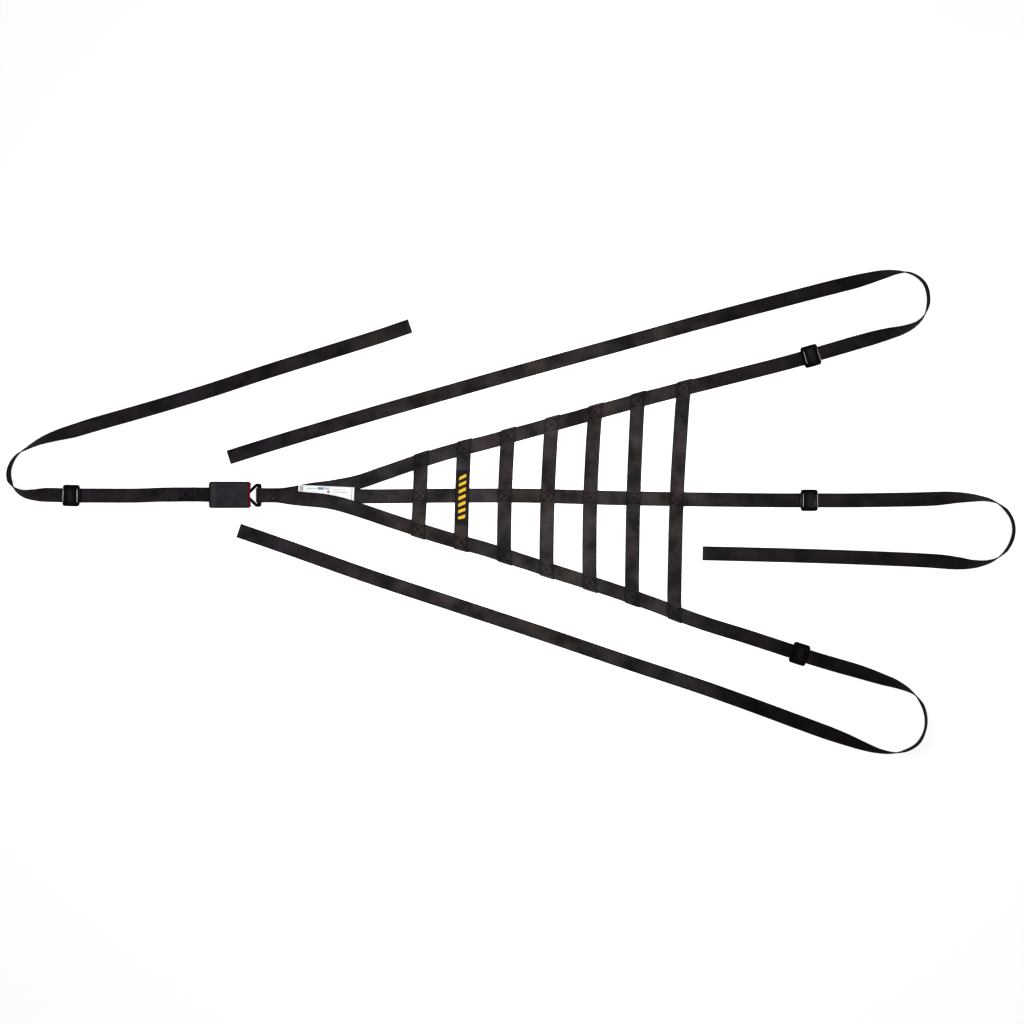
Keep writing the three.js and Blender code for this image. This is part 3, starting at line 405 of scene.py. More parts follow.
def rung_sections(rung):
    end = 1.2
    top_start, top = folded_end(rung.upper, rung_way(rung, rung.y_top, 1), 1)
    low_start, low = folded_end(rung.lower, rung_way(rung, rung.y_low, -1), -1)
    lifts = rung_lifts(rung, top_start[1], low_start[1])
    run = rung_run(rung, lifts, top_start[1] - end, low_start[1] + end)
    return joined(tuple(column[::-1] for column in top), run, low), lifts


def feed(tree, made, inputs):
    """Gives a node its inputs, each a value or another node's output."""
    for key, given in inputs.items():
        if isinstance(given, bpy.types.NodeSocket):
            tree.links.new(given, made.inputs[key])
        else:
            made.inputs[key].default_value = given


def node(tree, kind, inputs=None, **settings):
    """Adds a node with its settings and inputs."""
    made = tree.nodes.new(kind)
    for name, setting in settings.items():
        setattr(made, name, setting)
    feed(tree, made, inputs or {})
    return made


def calc(tree, operation, *terms):
    """Output of a Math node on numbers and outputs."""
    return node(tree, "ShaderNodeMath", dict(enumerate(terms)), operation=operation).outputs[0]


def vector_calc(tree, operation, vector, other):
    """Output of a Vector Math node; SCALE takes a number, the others a second vector."""
    key = 3 if operation == "SCALE" else 1
    return node(tree, "ShaderNodeVectorMath", {0: vector, key: other}, operation=operation).outputs[0]


def split(tree, vector):
    return node(tree, "ShaderNodeSeparateXYZ", {0: vector}).outputs


def wave(tree, operation, length, pitch):
    """Sine or cosine of a length, with a full turn to each pitch."""
    return calc(tree, operation, calc(tree, "MULTIPLY", length, math.tau / pitch))


def inside(tree, length, low, high):
    """1 where a length lies between two limits, else 0."""
    return calc(tree, "COMPARE", length, (low + high) / 2, (high - low) / 2)


def remap(tree, source, low, high, to_low=0.0, to_high=1.0, kind="LINEAR"):
    """Output of a Map Range node, which stays within its limits."""
    return node(tree, "ShaderNodeMapRange", {0: source, 1: low, 2: high, 3: to_low, 4: to_high},
                interpolation_type=kind).outputs[0]


def linear(hex_colour):
    """An sRGB hex colour as linear red, green, blue and alpha."""
    parts = [int(hex_colour[i:i + 2], 16) / 255 for i in (1, 3, 5)]
    return [c / 12.92 if c <= 0.04045 else ((c + 0.055) / 1.055) ** 2.4 for c in parts] + [1.0]


def blend(tree, factor, first, second):
    """Output of a mix of two colours, each an output, linear values or a hex colour."""
    first, second = (linear(tone) if isinstance(tone, str) else tone for tone in (first, second))
    return node(tree, "ShaderNodeMix", {0: factor, 6: first, 7: second}, data_type="RGBA").outputs[2]


def ramp(tree, source, stops):
    """Output of a colour ramp with stops of (position, linear colour)."""
    made = node(tree, "ShaderNodeValToRGB", {0: source})
    marks = made.color_ramp.elements
    while len(marks) < len(stops):
        marks.new(0.5)
    for mark, (position, colour) in zip(marks, stops):
        mark.position = position
        mark.color = colour
    return made.outputs[0]


def noise(tree, vector, scale, detail, roughness=0.5):
    return node(tree, "ShaderNodeTexNoise", {"Vector": vector, "Scale": scale, "Detail": detail,
                                             "Roughness": roughness}).outputs[0]


def bump(tree, height, distance, strength=1.0, **under):
    return node(tree, "ShaderNodeBump", {"Height": height, "Distance": distance, "Strength": strength,
                                         **under}).outputs[0]


def start_material(name):
    """A material, its tree, its shader and the place on the object that it colours."""
    made = bpy.data.materials.new(name)
    made.use_nodes = True
    tree = made.node_tree
    place = node(tree, "ShaderNodeTexCoord").outputs["Object"]
    return made, tree, tree.nodes["Principled BSDF"], place


def lay_in_mm(tree):
    """The place on a strap laid flat, in millimetres: the vector, and its parts along and across."""
    lay = node(tree, "ShaderNodeUVMap", uv_map="lay").outputs[0]
    in_mm = vector_calc(tree, "SCALE", lay, 1000.0)
    along, side, _ = split(tree, in_mm)
    return in_mm, along, side


def slide_shadow(tree, place, shade):
    """Darkens webbing where it dives through a slide and lies in the shadow of the slide's bars."""
    reach = 12.0
    half_width = 14.0
    # Millimetres along the webbing from the slide's middle, and the tone there
    tones = ((-10.4, 1.0), (-9.6, 0.5), (-3.2, 0.62), (-1.4, 1.0), (5.2, 1.0), (6.4, 0.08), (9.8, 0.08),
             (10.4, 1.0))
    stops = [((at + reach) / (2 * reach), (tone, tone, tone, 1.0)) for at, tone in tones]
    for route, x, y in SLIDE_PLACES.values():
        _, heading, _ = locate(route, nearest(route, x, y))
        local = node(tree, "ShaderNodeMapping", {
            "Vector": place,
            "Location": (x * MM, y * MM, 0.0),
            "Rotation": (0.0, 0.0, lean_of(heading)),
            "Scale": (math.copysign(MM, heading[0]), MM, MM),
        }, vector_type="TEXTURE")
        along, side, _ = split(tree, local.outputs[0])
        near = inside(tree, side, -half_width, half_width)
        tone = ramp(tree, remap(tree, along, -reach, reach), stops)
        kept = node(tree, "ShaderNodeMix", {0: near, 2: 1.0, 3: tone}, data_type="FLOAT").outputs[0]
        shade = calc(tree, "MULTIPLY", shade, kept)
    return shade


def webbing_material():
    """Woven polyester webbing, dyed near black: fine ribs across, painted shade along the rolled edges, a
    soft dull gloss and dusty handling marks that run brownish or bluish by turns. The real ribs are 1.35 mm
    apart, too fine for the camera's distance, so broader soft bands of painted shade stand for them in the
    colour."""
    made, tree, shader, place = start_material("woven_polyester_webbing")
    rib_pitch = 1.35
    rib_slant = 0.33
    yarn_pitch = 1.1
    band_pitch = 4.0
    band_wander = 9.0
    # Tone of the cloth, and what the ribs' painted shade, the bands of painted shade and the fuzz add to it
    ground_tone, rib_shade, band_shade, fuzz_tone = 0.2, 0.1, 0.26, 1.7
    in_mm, along, side = lay_in_mm(tree)

    # Each rib is a row of warp floats: a sine along the strap that slants half a rib to and fro between yarns
    yarn = calc(tree, "PINGPONG", side, 2 * yarn_pitch)
    ribs = wave(tree, "SINE", calc(tree, "MULTIPLY_ADD", yarn, rib_slant, along), rib_pitch)
    relief = calc(tree, "ADD", ribs, wave(tree, "COSINE", side, yarn_pitch))
    fuzz = noise(tree, in_mm, 0.32, 4.0, 0.75)

    # Bands of painted shade that stand for the ribs: a sine along the strap whose steps wander from place to
    # place
    wander = noise(tree, vector_calc(tree, "MULTIPLY", in_mm, (0.12, 0.05, 0.0)), 1.0, 2.0)
    bands = wave(tree, "SINE", calc(tree, "MULTIPLY_ADD", wander, band_wander, along), band_pitch)

    # Handling marks, brownish in some places and bluish in others
    marks = noise(tree, place, 21.0, 5.0, 0.55)
    hues = noise(tree, place, 8.0, 2.0)
    warm = ramp(tree, marks, ((0.38, linear("#181212")), (0.64, linear("#3c3331"))))
    cool = ramp(tree, marks, ((0.38, linear("#171417")), (0.64, linear("#393338"))))
    tint = blend(tree, remap(tree, hues, 0.42, 0.58), warm, cool)

    # Painted shade: beyond the ladder's first and last rungs the straps are darkened, with a purple cast, for
    # light that falls off there:
    # (their cast, and the x where it is whole and where it ends)
    white = (1.0, 1.0, 1.0, 1.0)
    for cast, whole, gone in (((0.72, 0.67, 0.78, 1.0), -0.36, -0.19), ((0.45, 0.39, 0.47, 1.0), 0.4, 0.325)):
        end_shade = remap(tree, split(tree, place)[0], whole, gone, kind="SMOOTHSTEP")
        tint = vector_calc(tree, "MULTIPLY", tint, blend(tree, end_shade, cast, white))

    shade = ground_tone
    # Painted shade: the ribs and the bands darken the colour in their troughs
    for pattern, weight in ((relief, rib_shade), (bands, band_shade), (fuzz, fuzz_tone)):
        shade = calc(tree, "MULTIPLY_ADD", pattern, weight, shade)
    # Painted shade along both edges, where the webbing rolls down away from the light
    edge_shade = remap(tree, calc(tree, "ABSOLUTE", side), 10.6, 11.8, 1.0, 0.12, "SMOOTHSTEP")
    shade = slide_shadow(tree, place, calc(tree, "MULTIPLY", shade, edge_shade))

    # Ends cut with a hot knife: melted, a little lighter and shinier
    seal = node(tree, "ShaderNodeAttribute", attribute_name="seal").outputs["Fac"]
    ground = bump(tree, relief, 0.00016, 0.7)
    feed(tree, shader, {
        "Base Color": blend(tree, seal, vector_calc(tree, "SCALE", tint, shade), "#2a2527"),
        "Roughness": remap(tree, seal, 0.0, 1.0, 0.5, 0.36),
        "Normal": bump(tree, fuzz, 0.00012, 0.5, Normal=ground),
        "Specular IOR Level": 0.16,
        "Sheen Weight": 0.1,
        "Sheen Roughness": 0.5,
    })
    return made


def thread_material():
    """Bonded black polyester sewing thread: blacker than the webbing and pulled tight into it."""
    made, tree, shader, place = start_material("bonded_sewing_thread")
    twist = node(tree, "ShaderNodeTexWave", {"Vector": place, "Scale": 900.0, "Distortion": 1.0},
                 bands_direction="DIAGONAL").outputs["Fac"]
    feed(tree, shader, {
        "Base Color": blend(tree, twist, "#040304", "#0a0809"),
        "Roughness": 0.85,
        "Normal": bump(tree, twist, 0.00005),
        "Specular IOR Level": 0.08,
    })
    return made


def painted_steel_material():
    """Stamped steel with a black gloss enamel: a slight orange peel that breaks up its highlights."""
    made, tree, shader, place = start_material("black_enamelled_steel")
    rubbed = noise(tree, place, 260.0, 5.0, 0.7)
    feed(tree, shader, {
        "Base Color": blend(tree, rubbed, "#080506", "#120d0f"),
        "Roughness": remap(tree, rubbed, 0.3, 0.7, 0.1, 0.18),
        "Normal": bump(tree, noise(tree, place, 900.0, 2.0), 0.00004, 0.4),
        "Specular IOR Level": 0.3,
    })
    return made


def housing_material():
    """Moulded glass-filled nylon, grey black, with the fine spark-eroded grain of its mould."""
    made, tree, shader, place = start_material("moulded_black_nylon")
    grain = node(tree, "ShaderNodeTexVoronoi", {"Vector": place, "Scale": 1500.0}).outputs["Distance"]
    speck = noise(tree, place, 700.0, 4.0, 0.65)
    cloud = noise(tree, place, 60.0, 3.0)
    tone = remap(tree, calc(tree, "MULTIPLY", speck, cloud), 0.12, 0.4)
    colour = blend(tree, tone, "#232028", "#343139")

    # Painted shade: darker on the sloping end and along the long rounded rims, which turn away from the light
    x, y, _ = split(tree, place)
    end = remap(tree, x, (HOUSING.left + 4) * MM, (HOUSING.left + 16) * MM, 0.3)
    from_middle = calc(tree, "ABSOLUTE", calc(tree, "SUBTRACT", y, HOUSING.y * MM))
    rim_shade_start, rim_shade_stop = ((HOUSING.half_width - inset) * MM for inset in (3.0, 1.8))
    rim = remap(tree, from_middle, rim_shade_start, rim_shade_stop, 1.0, 0.12)
    coarse = bump(tree, grain, 0.00005, 0.5)
    feed(tree, shader, {
        "Base Color": vector_calc(tree, "SCALE", colour, calc(tree, "MULTIPLY", end, rim)),
        "Roughness": remap(tree, cloud, 0.3, 0.7, 0.5, 0.62),
        "Normal": bump(tree, speck, 0.00008, 0.5, Normal=coarse),
        "Specular IOR Level": 0.25,
    })
    return made


def button_material():
    """Red injection moulded ABS, satin, a little darker in the flow marks."""
    made, tree, shader, place = start_material("moulded_red_abs")
    feed(tree, shader, {
        "Base Color": blend(tree, noise(tree, place, 120.0, 3.0), "#6a080d", "#930d14"),
        "Roughness": 0.45,
        "Normal": bump(tree, noise(tree, place, 1400.0, 2.0), 0.00004, 0.5),
        "Specular IOR Level": 0.25,
    })
    return made


def label_material():
    """White woven polyester label with a faint glow of painted light: fine satin rows, a thin dark seam near
    its right end, plain panels and rows of short grey dashes, all generic."""
    made, tree, shader, _ = start_material("woven_white_label")
    in_mm, along, side = lay_in_mm(tree)
    colour = blend(tree, noise(tree, in_mm, 0.35, 4.0), "#e9eaee", "#ffffff")

    # Start and stop along the label, low and high across it, and the colour of each plain patch, in mm
    patches = [
        (3.0, 5.0, 1.5, 11.0, "#77787f"),
        (6.4, 8.4, 1.5, 11.0, "#77787f"),
        (35.0, 46.0, 5.4, 9.8, "#7a86a0"),
        (47.5, 56.0, 6.0, 9.8, "#9cc0dc"),
        (52.5, 56.5, -0.2, 4.4, "#b8444a"),
        (96.6, 97.4, -12.3, 12.3, "#30333a"),
    ]
    # The same limits of each row of dashes
    rows = [(63.0, 89.0, 1.4, 3.0), (15.0, 33.0, 6.2, 7.8), (64.0, 88.0, 6.1, 7.1)]
    dashes = remap(tree, noise(tree, in_mm, 0.55, 1.0), 0.4, 0.5, 0.0, 0.7)

    def cover(start, stop, low, high):
        return calc(tree, "MULTIPLY", inside(tree, along, start, stop), inside(tree, side, low, high))

    for *limits, ink in patches:
        colour = blend(tree, cover(*limits), colour, ink)
    for limits in rows:
        colour = blend(tree, calc(tree, "MULTIPLY", cover(*limits), dashes), colour, "#60636c")
    feed(tree, shader, {
        "Base Color": colour,
        # Painted light: the label glows faintly in its own colour, though it is no lamp
        "Emission Color": colour,
        "Emission Strength": 0.16,
        "Roughness": 0.55,
        "Normal": bump(tree, wave(tree, "SINE", side, 0.7), 0.00005, 0.5),
        "Specular IOR Level": 0.3,
    })
    return made


def badge_material():
    """Thin black woven strip with a generic row of slanted bars in yellow satin stitch."""
    made, tree, shader, _ = start_material("woven_badge")
    in_mm, along, side = lay_in_mm(tree)
    slant = 0.45
    bar_pitch = 12.2
    bar_half = 2.9
    place = calc(tree, "MULTIPLY_ADD", side, slant, along)
    is_bar = calc(tree, "LESS_THAN", calc(tree, "PINGPONG", place, bar_pitch / 2), bar_half)
    area = calc(tree, "MULTIPLY", inside(tree, side, -6.4, 6.4), inside(tree, along, 7.6, 89.6))
    printed = calc(tree, "MULTIPLY", is_bar, area)
    cloud = noise(tree, in_mm, 0.8, 3.0)
    yellow = blend(tree, cloud, "#d89a10", "#ffd83a")
    ground = blend(tree, cloud, "#0d0b0d", "#1a171a")
    raised = calc(tree, "MULTIPLY_ADD", wave(tree, "SINE", place, 0.8), 0.3, printed)
    feed(tree, shader, {
        "Base Color": blend(tree, printed, ground, yellow),
        "Roughness": 0.55,
        "Normal": bump(tree, raised, 0.0002, 0.5),
        "Specular IOR Level": 0.3,
    })
    return made


def floor_material():
    """Opal white light table, lit from below, so that it stays white and takes no shadow."""
    made, tree, shader, _ = start_material("lit_opal_table")
    feed(tree, shader, {
        "Base Color": linear("#f4f4f4"),
        "Roughness": 0.9,
        "Emission Color": (1.0, 1.0, 1.0, 1.0),
        "Emission Strength": 0.9,
    })
    return made


WEBBING = webbing_material()
THREAD = thread_material()
STEEL = painted_steel_material()
NYLON = housing_material()
RED = button_material()
WOVEN_LABEL = label_material()
WOVEN_BADGE = badge_material()
OPAL = floor_material()


def start_group(name, numbers):
    """A Geometry Nodes group that takes lines, some numbers and a material; gives its tree and its inputs."""
    tree = bpy.data.node_groups.new(name, "GeometryNodeTree")
    rows = [("Geometry", "INPUT", "Geometry"), *((number, "INPUT", "Float") for number in numbers),
            ("Material", "INPUT", "Material"), ("Geometry", "OUTPUT", "Geometry")]
    for title, way, kind in rows:
        tree.interface.new_socket(title, in_out=way, socket_type="NodeSocket" + kind)
    return tree, node(tree, "NodeGroupInput").outputs


def finish_group(tree, geometry, material):
    real = node(tree, "GeometryNodeRealizeInstances", {"Geometry": geometry})
    dressed = node(tree, "GeometryNodeSetMaterial", {"Geometry": real.outputs[0], "Material": material})
    node(tree, "NodeGroupOutput", {"Geometry": dressed.outputs[0]})
    return tree


def strap_tree():
    """Geometry Nodes: a strap's body from its line of sections. Each point of the line carries centre, across
    and face; the profile is a flat rounded oval, and its edges carry the small loops of the weft."""
    tree, given = start_group("strap", ("Width", "Thickness", "Loop pitch", "Loop depth"))
    path = node(tree, "GeometryNodeMeshToCurve", {"Mesh": given["Geometry"]})

    # Profile: a circle's points pushed out to a flat oval, side and up running from -1 to 1
    squareness = 0.3
    profile = node(tree, "GeometryNodeCurvePrimitiveCircle", {"Resolution": 12, "Radius": 1.0}).outputs[0]
    spot = split(tree, node(tree, "GeometryNodeInputPosition").outputs[0])
    pushed = []
    for part in spot[:2]:
        power = calc(tree, "POWER", calc(tree, "ABSOLUTE", part), squareness)
        sign = calc(tree, "SIGN", calc(tree, "SNAP", part, 1e-4))
        pushed.append(calc(tree, "MULTIPLY", power, sign))
    for name, stored in zip(("side", "up"), pushed):
        profile = node(tree, "GeometryNodeStoreNamedAttribute",
                       {"Geometry": profile, "Name": name, "Value": stored}, data_type="FLOAT").outputs[0]
    body = node(tree, "GeometryNodeCurveToMesh",
                {"Curve": path.outputs[0], "Profile Curve": profile, "Fill Caps": True})

    kinds = {"side": "FLOAT", "up": "FLOAT", "travel": "FLOAT",
             "centre": "FLOAT_VECTOR", "across": "FLOAT_VECTOR", "face": "FLOAT_VECTOR"}
    side, up, travel, centre_of, across, face = (
        node(tree, "GeometryNodeInputNamedAttribute", {"Name": name}, data_type=kind).outputs[0]
        for name, kind in kinds.items())

    # Each section: centre + across * half width with its loops * side + face * half thickness * up
    half_width = calc(tree, "MULTIPLY", given["Width"], 0.5)
    half_thick = calc(tree, "MULTIPLY", given["Thickness"], 0.5)
    phase = calc(tree, "MULTIPLY", calc(tree, "DIVIDE", travel, given["Loop pitch"]), math.tau)
    loop = calc(tree, "MULTIPLY", calc(tree, "SINE", phase), given["Loop depth"])
    at_edge = remap(tree, calc(tree, "ABSOLUTE", side), 0.82, 0.96)
    wide = calc(tree, "ADD", half_width, calc(tree, "MULTIPLY", loop, at_edge))
    sideways = vector_calc(tree, "SCALE", across, calc(tree, "MULTIPLY", wide, side))
    upwards = vector_calc(tree, "SCALE", face, calc(tree, "MULTIPLY", half_thick, up))
    final = vector_calc(tree, "ADD", vector_calc(tree, "ADD", centre_of, sideways), upwards)
    placed = node(tree, "GeometryNodeSetPosition", {"Geometry": body.outputs[0], "Position": final})
    lay = node(tree, "ShaderNodeCombineXYZ", {0: travel, 1: calc(tree, "MULTIPLY", half_width, side)})
    mapped = node(tree, "GeometryNodeStoreNamedAttribute",
                  {"Geometry": placed.outputs[0], "Name": "lay", "Value": lay.outputs[0]},
                  data_type="FLOAT2", domain="CORNER")
    return finish_group(tree, mapped.outputs[0], given["Material"])


def stitch_tree():
    """Geometry Nodes: short thread stitches along lines, each a small flattened capsule."""
    tree, given = start_group("stitches", ("Pitch", "Stitch length", "Thread width", "Thread height"))
    path = node(tree, "GeometryNodeMeshToCurve", {"Mesh": given["Geometry"]})
    spots = node(tree, "GeometryNodeCurveToPoints", {"Curve": path.outputs[0], "Length": given["Pitch"]},
                 mode="LENGTH")
    turn = node(tree, "FunctionNodeAlignRotationToVector", {"Vector": spots.outputs["Tangent"]}, axis="X",
                pivot_axis="Z")
    bead = node(tree, "GeometryNodeMeshUVSphere", {"Segments": 6, "Rings": 4, "Radius": 0.5})
    size = node(tree, "ShaderNodeCombineXYZ",
                {0: given["Stitch length"], 1: given["Thread width"], 2: given["Thread height"]})
    copies = node(tree, "GeometryNodeInstanceOnPoints",
                  {"Points": spots.outputs["Points"], "Instance": bead.outputs["Mesh"],
                   "Rotation": turn.outputs[0], "Scale": size.outputs[0]})
    return finish_group(tree, copies.outputs[0], given["Material"])


STRAP_TREE = strap_tree()
STITCH_TREE = stitch_tree()


def linked(name, data):
    made = bpy.data.objects.new(name, data)
    bpy.context.scene.collection.objects.link(made)
    return made


def grown(name, source, tree, **values):
    """A plain mesh object from a source mesh put through a node tree, whose inputs are set by name."""
    carrier = linked(name + "_source", source)
    modifier = carrier.modifiers.new("grow", "NODES")
    modifier.node_group = tree
    for item in tree.interface.items_tree:
        if item.in_out == "INPUT" and item.name in values:
            modifier[item.identifier] = values[item.name]
    depsgraph = bpy.context.evaluated_depsgraph_get()
    mesh = bpy.data.meshes.new_from_object(carrier.evaluated_get(depsgraph), depsgraph=depsgraph)
    carrier.modifiers.remove(modifier)
    bpy.data.objects.remove(carrier)
    mesh.name = name
    return linked(name, mesh)


@contextmanager
def edited(mesh):
    """A mesh open for editing, written back at the end."""
    work = bmesh.new()
    work.from_mesh(mesh)
    yield work
    work.to_mesh(mesh)
    work.free()


def faces_out(mesh):
    """Points every face outwards and shades them smooth."""
    with edited(mesh) as work:
        bmesh.ops.recalc_face_normals(work, faces=work.faces)
        if work.calc_volume(signed=True) < 0:
            bmesh.ops.reverse_faces(work, faces=work.faces)
        for face in work.faces:
            face.smooth = True


def sharpened(mesh, degrees):
    """Shades smooth, with edges kept sharp where faces meet at more than an angle."""
    limit = math.radians(degrees)
    with edited(mesh) as work:
        for face in work.faces:
            face.smooth = True
        for edge in work.edges:
            edge.smooth = edge.is_manifold and edge.calc_face_angle(0) < limit


def line_mesh(name, lines):
    """Mesh of open lines, each a list of points in metres."""
    points, edges = [], []
    for line in lines:
        first = len(points)
        points.extend(line)
        edges.extend((first + i, first + i + 1) for i in range(len(line) - 1))
    mesh = bpy.data.meshes.new(name)
    mesh.from_pydata(points, edges, [])
    return mesh


def strap(name, node_name, sections, finish, width=WEB_WIDTH, thick=WEB_THICK, loops=True):
    """A strap or strip through its sections, standing for a node of the frame. Webbing carries the loops of
    its weft, which stand a little out of its cut width."""
    centres, across, faces = sections
    stand, depth = (EDGE_STAND, EDGE_LOOP_DEPTH) if loops else (0.0, 0.0)
    travel = np.concatenate([[0], np.cumsum(np.linalg.norm(np.diff(centres, axis=0), axis=1))])
    from_end = np.minimum(travel, travel[-1] - travel)
    # The melted seal is whole up to half this length from a cut end, and gone at one and a half
    seal_length = 1.6
    source = line_mesh(name + "_line", [(centres * MM).tolist()])
    for key, kind, values in (
        ("centre", "FLOAT_VECTOR", centres * MM),
        ("across", "FLOAT_VECTOR", across),
        ("face", "FLOAT_VECTOR", faces),
        ("travel", "FLOAT", travel * MM),
        ("seal", "FLOAT", np.clip(1.5 - from_end / seal_length, 0, 1)),
    ):
        layer = source.attributes.new(key, kind, "POINT")
        layer.data.foreach_set("value" if kind == "FLOAT" else "vector", np.asarray(values, float).ravel())
    piece = grown(name, source, STRAP_TREE, Width=(width + 2 * stand) * MM, Thickness=thick * MM,
                  **{"Loop pitch": EDGE_LOOP_PITCH * MM, "Loop depth": depth * MM, "Material": finish})
    for key in ("centre", "across", "face", "travel", "side", "up"):
        if key in piece.data.attributes:
            piece.data.attributes.remove(piece.data.attributes[key])
    faces_out(piece.data)
    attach(piece, "net")
    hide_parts(node_name)
    return piece


strap("webbing_edge", "edge_webbing", edge_sections(), WEBBING)
strap("webbing_centre", "centre_webbing", centre_sections(), WEBBING)
strap("webbing_buckle", "buckle_webbing", buckle_sections(), WEBBING)
for number, rung in enumerate(RUNGS):
    sections, rung.lifts = rung_sections(rung)
    strap(f"webbing_rung_{number + 1}", f"rung_{number + 1}", sections, WEBBING)

badge_rung = RUNGS[BADGE.rung]
badge_lift = WEB_THICK / 2 + BADGE.clear + STRIP_THICK / 2
strap("woven_strip_badge", "badge",
      rung_run(badge_rung, badge_rung.lifts, BADGE.y_top, BADGE.y_bottom, badge_lift),
      WOVEN_BADGE, BADGE.width, STRIP_THICK, loops=False)

label_way = np.array([math.cos(math.radians(LABEL.turn)), math.sin(math.radians(LABEL.turn))])
label_route = survey([(*(np.array([LABEL.x, LABEL.y]) + end * LABEL.length / 2 * label_way), 0)
                      for end in (-1, 1)])
label_lifts = [(0, LABEL.length, 1, label_top - STRIP_THICK)]
strap("woven_strip_label", "label",
      lay_strap(label_route, label_lifts, thick=STRIP_THICK, width=LABEL.width),
      WOVEN_LABEL, LABEL.width, STRIP_THICK, loops=False)


def box_and_cross(place, half_u, half_v, u, v, z):
    """Lines of a sewn box with its two diagonals, on a flat face at height z; u and v are its directions."""
    corners = [place + u * i * half_u + v * j * half_v for i, j in ((-1, -1), (1, -1), (1, 1), (-1, 1))]
    points = [(*(corner * MM), z * MM) for corner in corners]
    return [[points[a], points[b]] for a, b in ((0, 1), (1, 2), (2, 3), (3, 0), (0, 2), (1, 3))]


# Boxes and crosses: how high the thread lies over a layer, half the box's size, and the two boxes that are
# not at a rung (middle, half length, layer)
STITCH_RISE = WEB_THICK / 2 + 0.05
BOX_HALF = 9.0
STITCH = SimpleNamespace(pitch=3.2, length=2.9, width=2.0, height=0.5)
LONE_BOXES = [((-431.5, 30.1), 8.5, STACK[2]), ((-590.5, 31.7), 12.0, STACK[1])]
sewn = []
for rung in RUNGS:
    for crossed, level, y in ((rung.upper, STACK[2], rung.y_top), (rung.middle, STACK[1], Y_MID),
                              (rung.lower, STACK[2], rung.y_low)):
        u = np.array([math.cos(crossed.lean), math.sin(crossed.lean)])
        v = rung_way(rung, y, 1)[:2]
        square = abs(u[0] * v[1] - u[1] * v[0])
        sewn += box_and_cross(crossed.place, BOX_HALF / square, BOX_HALF / square, u, v, level + STITCH_RISE)
east, north = np.eye(2)
for middle, half_length, level in LONE_BOXES:
    sewn += box_and_cross(np.array(middle), half_length, BOX_HALF, east, north, level + STITCH_RISE)
stitches = grown("sewing_thread", line_mesh("sewing_lines", sewn), STITCH_TREE, Pitch=STITCH.pitch * MM,
                 **{"Stitch length": STITCH.length * MM, "Thread width": STITCH.width * MM,
                    "Thread height": STITCH.height * MM, "Material": THREAD})
faces_out(stitches.data)
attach(stitches, "net")


def rounded_outline(corners, steps=7):
    """Closed outline with rounded corners, from rows of (x, y, radius along each side)."""
    points = []
    for i, (x, y, r) in enumerate(corners):
        corner = Vector((x, y))
        back = Vector(corners[i - 1][:2])
        ahead = Vector(corners[(i + 1) % len(corners)][:2])
        start = corner + (back - corner).normalized() * r
        stop = corner + (ahead - corner).normalized() * r
        for k in range(steps + 1):
            t = k / steps
            points.append(start * (1 - t) ** 2 + corner * 2 * t * (1 - t) + stop * t ** 2)
    return points


def rectangle(x, y, half_x, half_y, r):
    return [(x + i * half_x, y + j * half_y, r) for i, j in ((-1, -1), (1, -1), (1, 1), (-1, 1))]


def plate(name, outlines, depth, roll, place, finish, coat=0.0, rolls=5):
    """Plate cut to outlines, the first its rim and the rest its holes, with every edge rolled over by roll
    and grown by a coat of paint. roll is (inwards, downwards); place is a matrix in millimetres that puts
    its middle where it goes."""
    inwards, downwards = roll
    squash = downwards / inwards
    curve = bpy.data.curves.new(name, "CURVE")
    curve.dimensions = "2D"
    curve.fill_mode = "BOTH"
    curve.bevel_depth = inwards
    curve.bevel_resolution = rolls
    curve.offset = coat - inwards
    curve.extrude = (depth / 2 - downwards) / squash
    for outline in outlines:
        spline = curve.splines.new("POLY")
        spline.points.add(len(outline) - 1)
        spline.use_cyclic_u = True
        for point, spot in zip(spline.points, outline):
            point.co = (spot[0], spot[1], 0, 1)
    carrier = bpy.data.objects.new(name + "_curve", curve)
    mesh = bpy.data.meshes.new_from_object(carrier)
    bpy.data.objects.remove(carrier)
    mesh.transform(Matrix.Scale(MM, 4) @ place @ Matrix.Diagonal((1, 1, squash, 1)))
    mesh.materials.clear()
    mesh.materials.append(finish)
    with edited(mesh) as work:
        bmesh.ops.remove_doubles(work, verts=work.verts, dist=0.01 * MM)
    faces_out(mesh)
    return linked(name, mesh)


def slide(node_name):
    """Three-bar slide: an enamelled steel frame whose bars are rolled over like wire. The webbing fills its
    slots from end to end."""
    route, x, y = SLIDE_PLACES[node_name]
    _, heading, _ = locate(route, nearest(route, x, y))
    lean = lean_of(heading)
    slot_half = (SLIDE.along / 2 - SLIDE.outer_bar - SLIDE.centre_bar / 2) / 2
    outlines = [rounded_outline(rectangle(0, 0, SLIDE.along / 2, SLIDE.across / 2, SLIDE.corner))]
    for end in (-1, 1):
        slot_x = end * (SLIDE.centre_bar / 2 + slot_half)
        outlines.append(rounded_outline(rectangle(slot_x, 0, slot_half, WEB_WIDTH / 2, 1.0)))
    place = Matrix.Translation((x, y, SLIDE.z + SLIDE.thick / 2)) @ Matrix.Rotation(lean, 4, "Z")
    piece = plate("enamelled_" + node_name, outlines, SLIDE.thick, (2.2, SLIDE.thick / 2), place, STEEL,
                  coat=ENAMEL)
    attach(piece, "net")
    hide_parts(node_name)


for slide_name in SLIDE_PLACES:
    slide(slide_name)


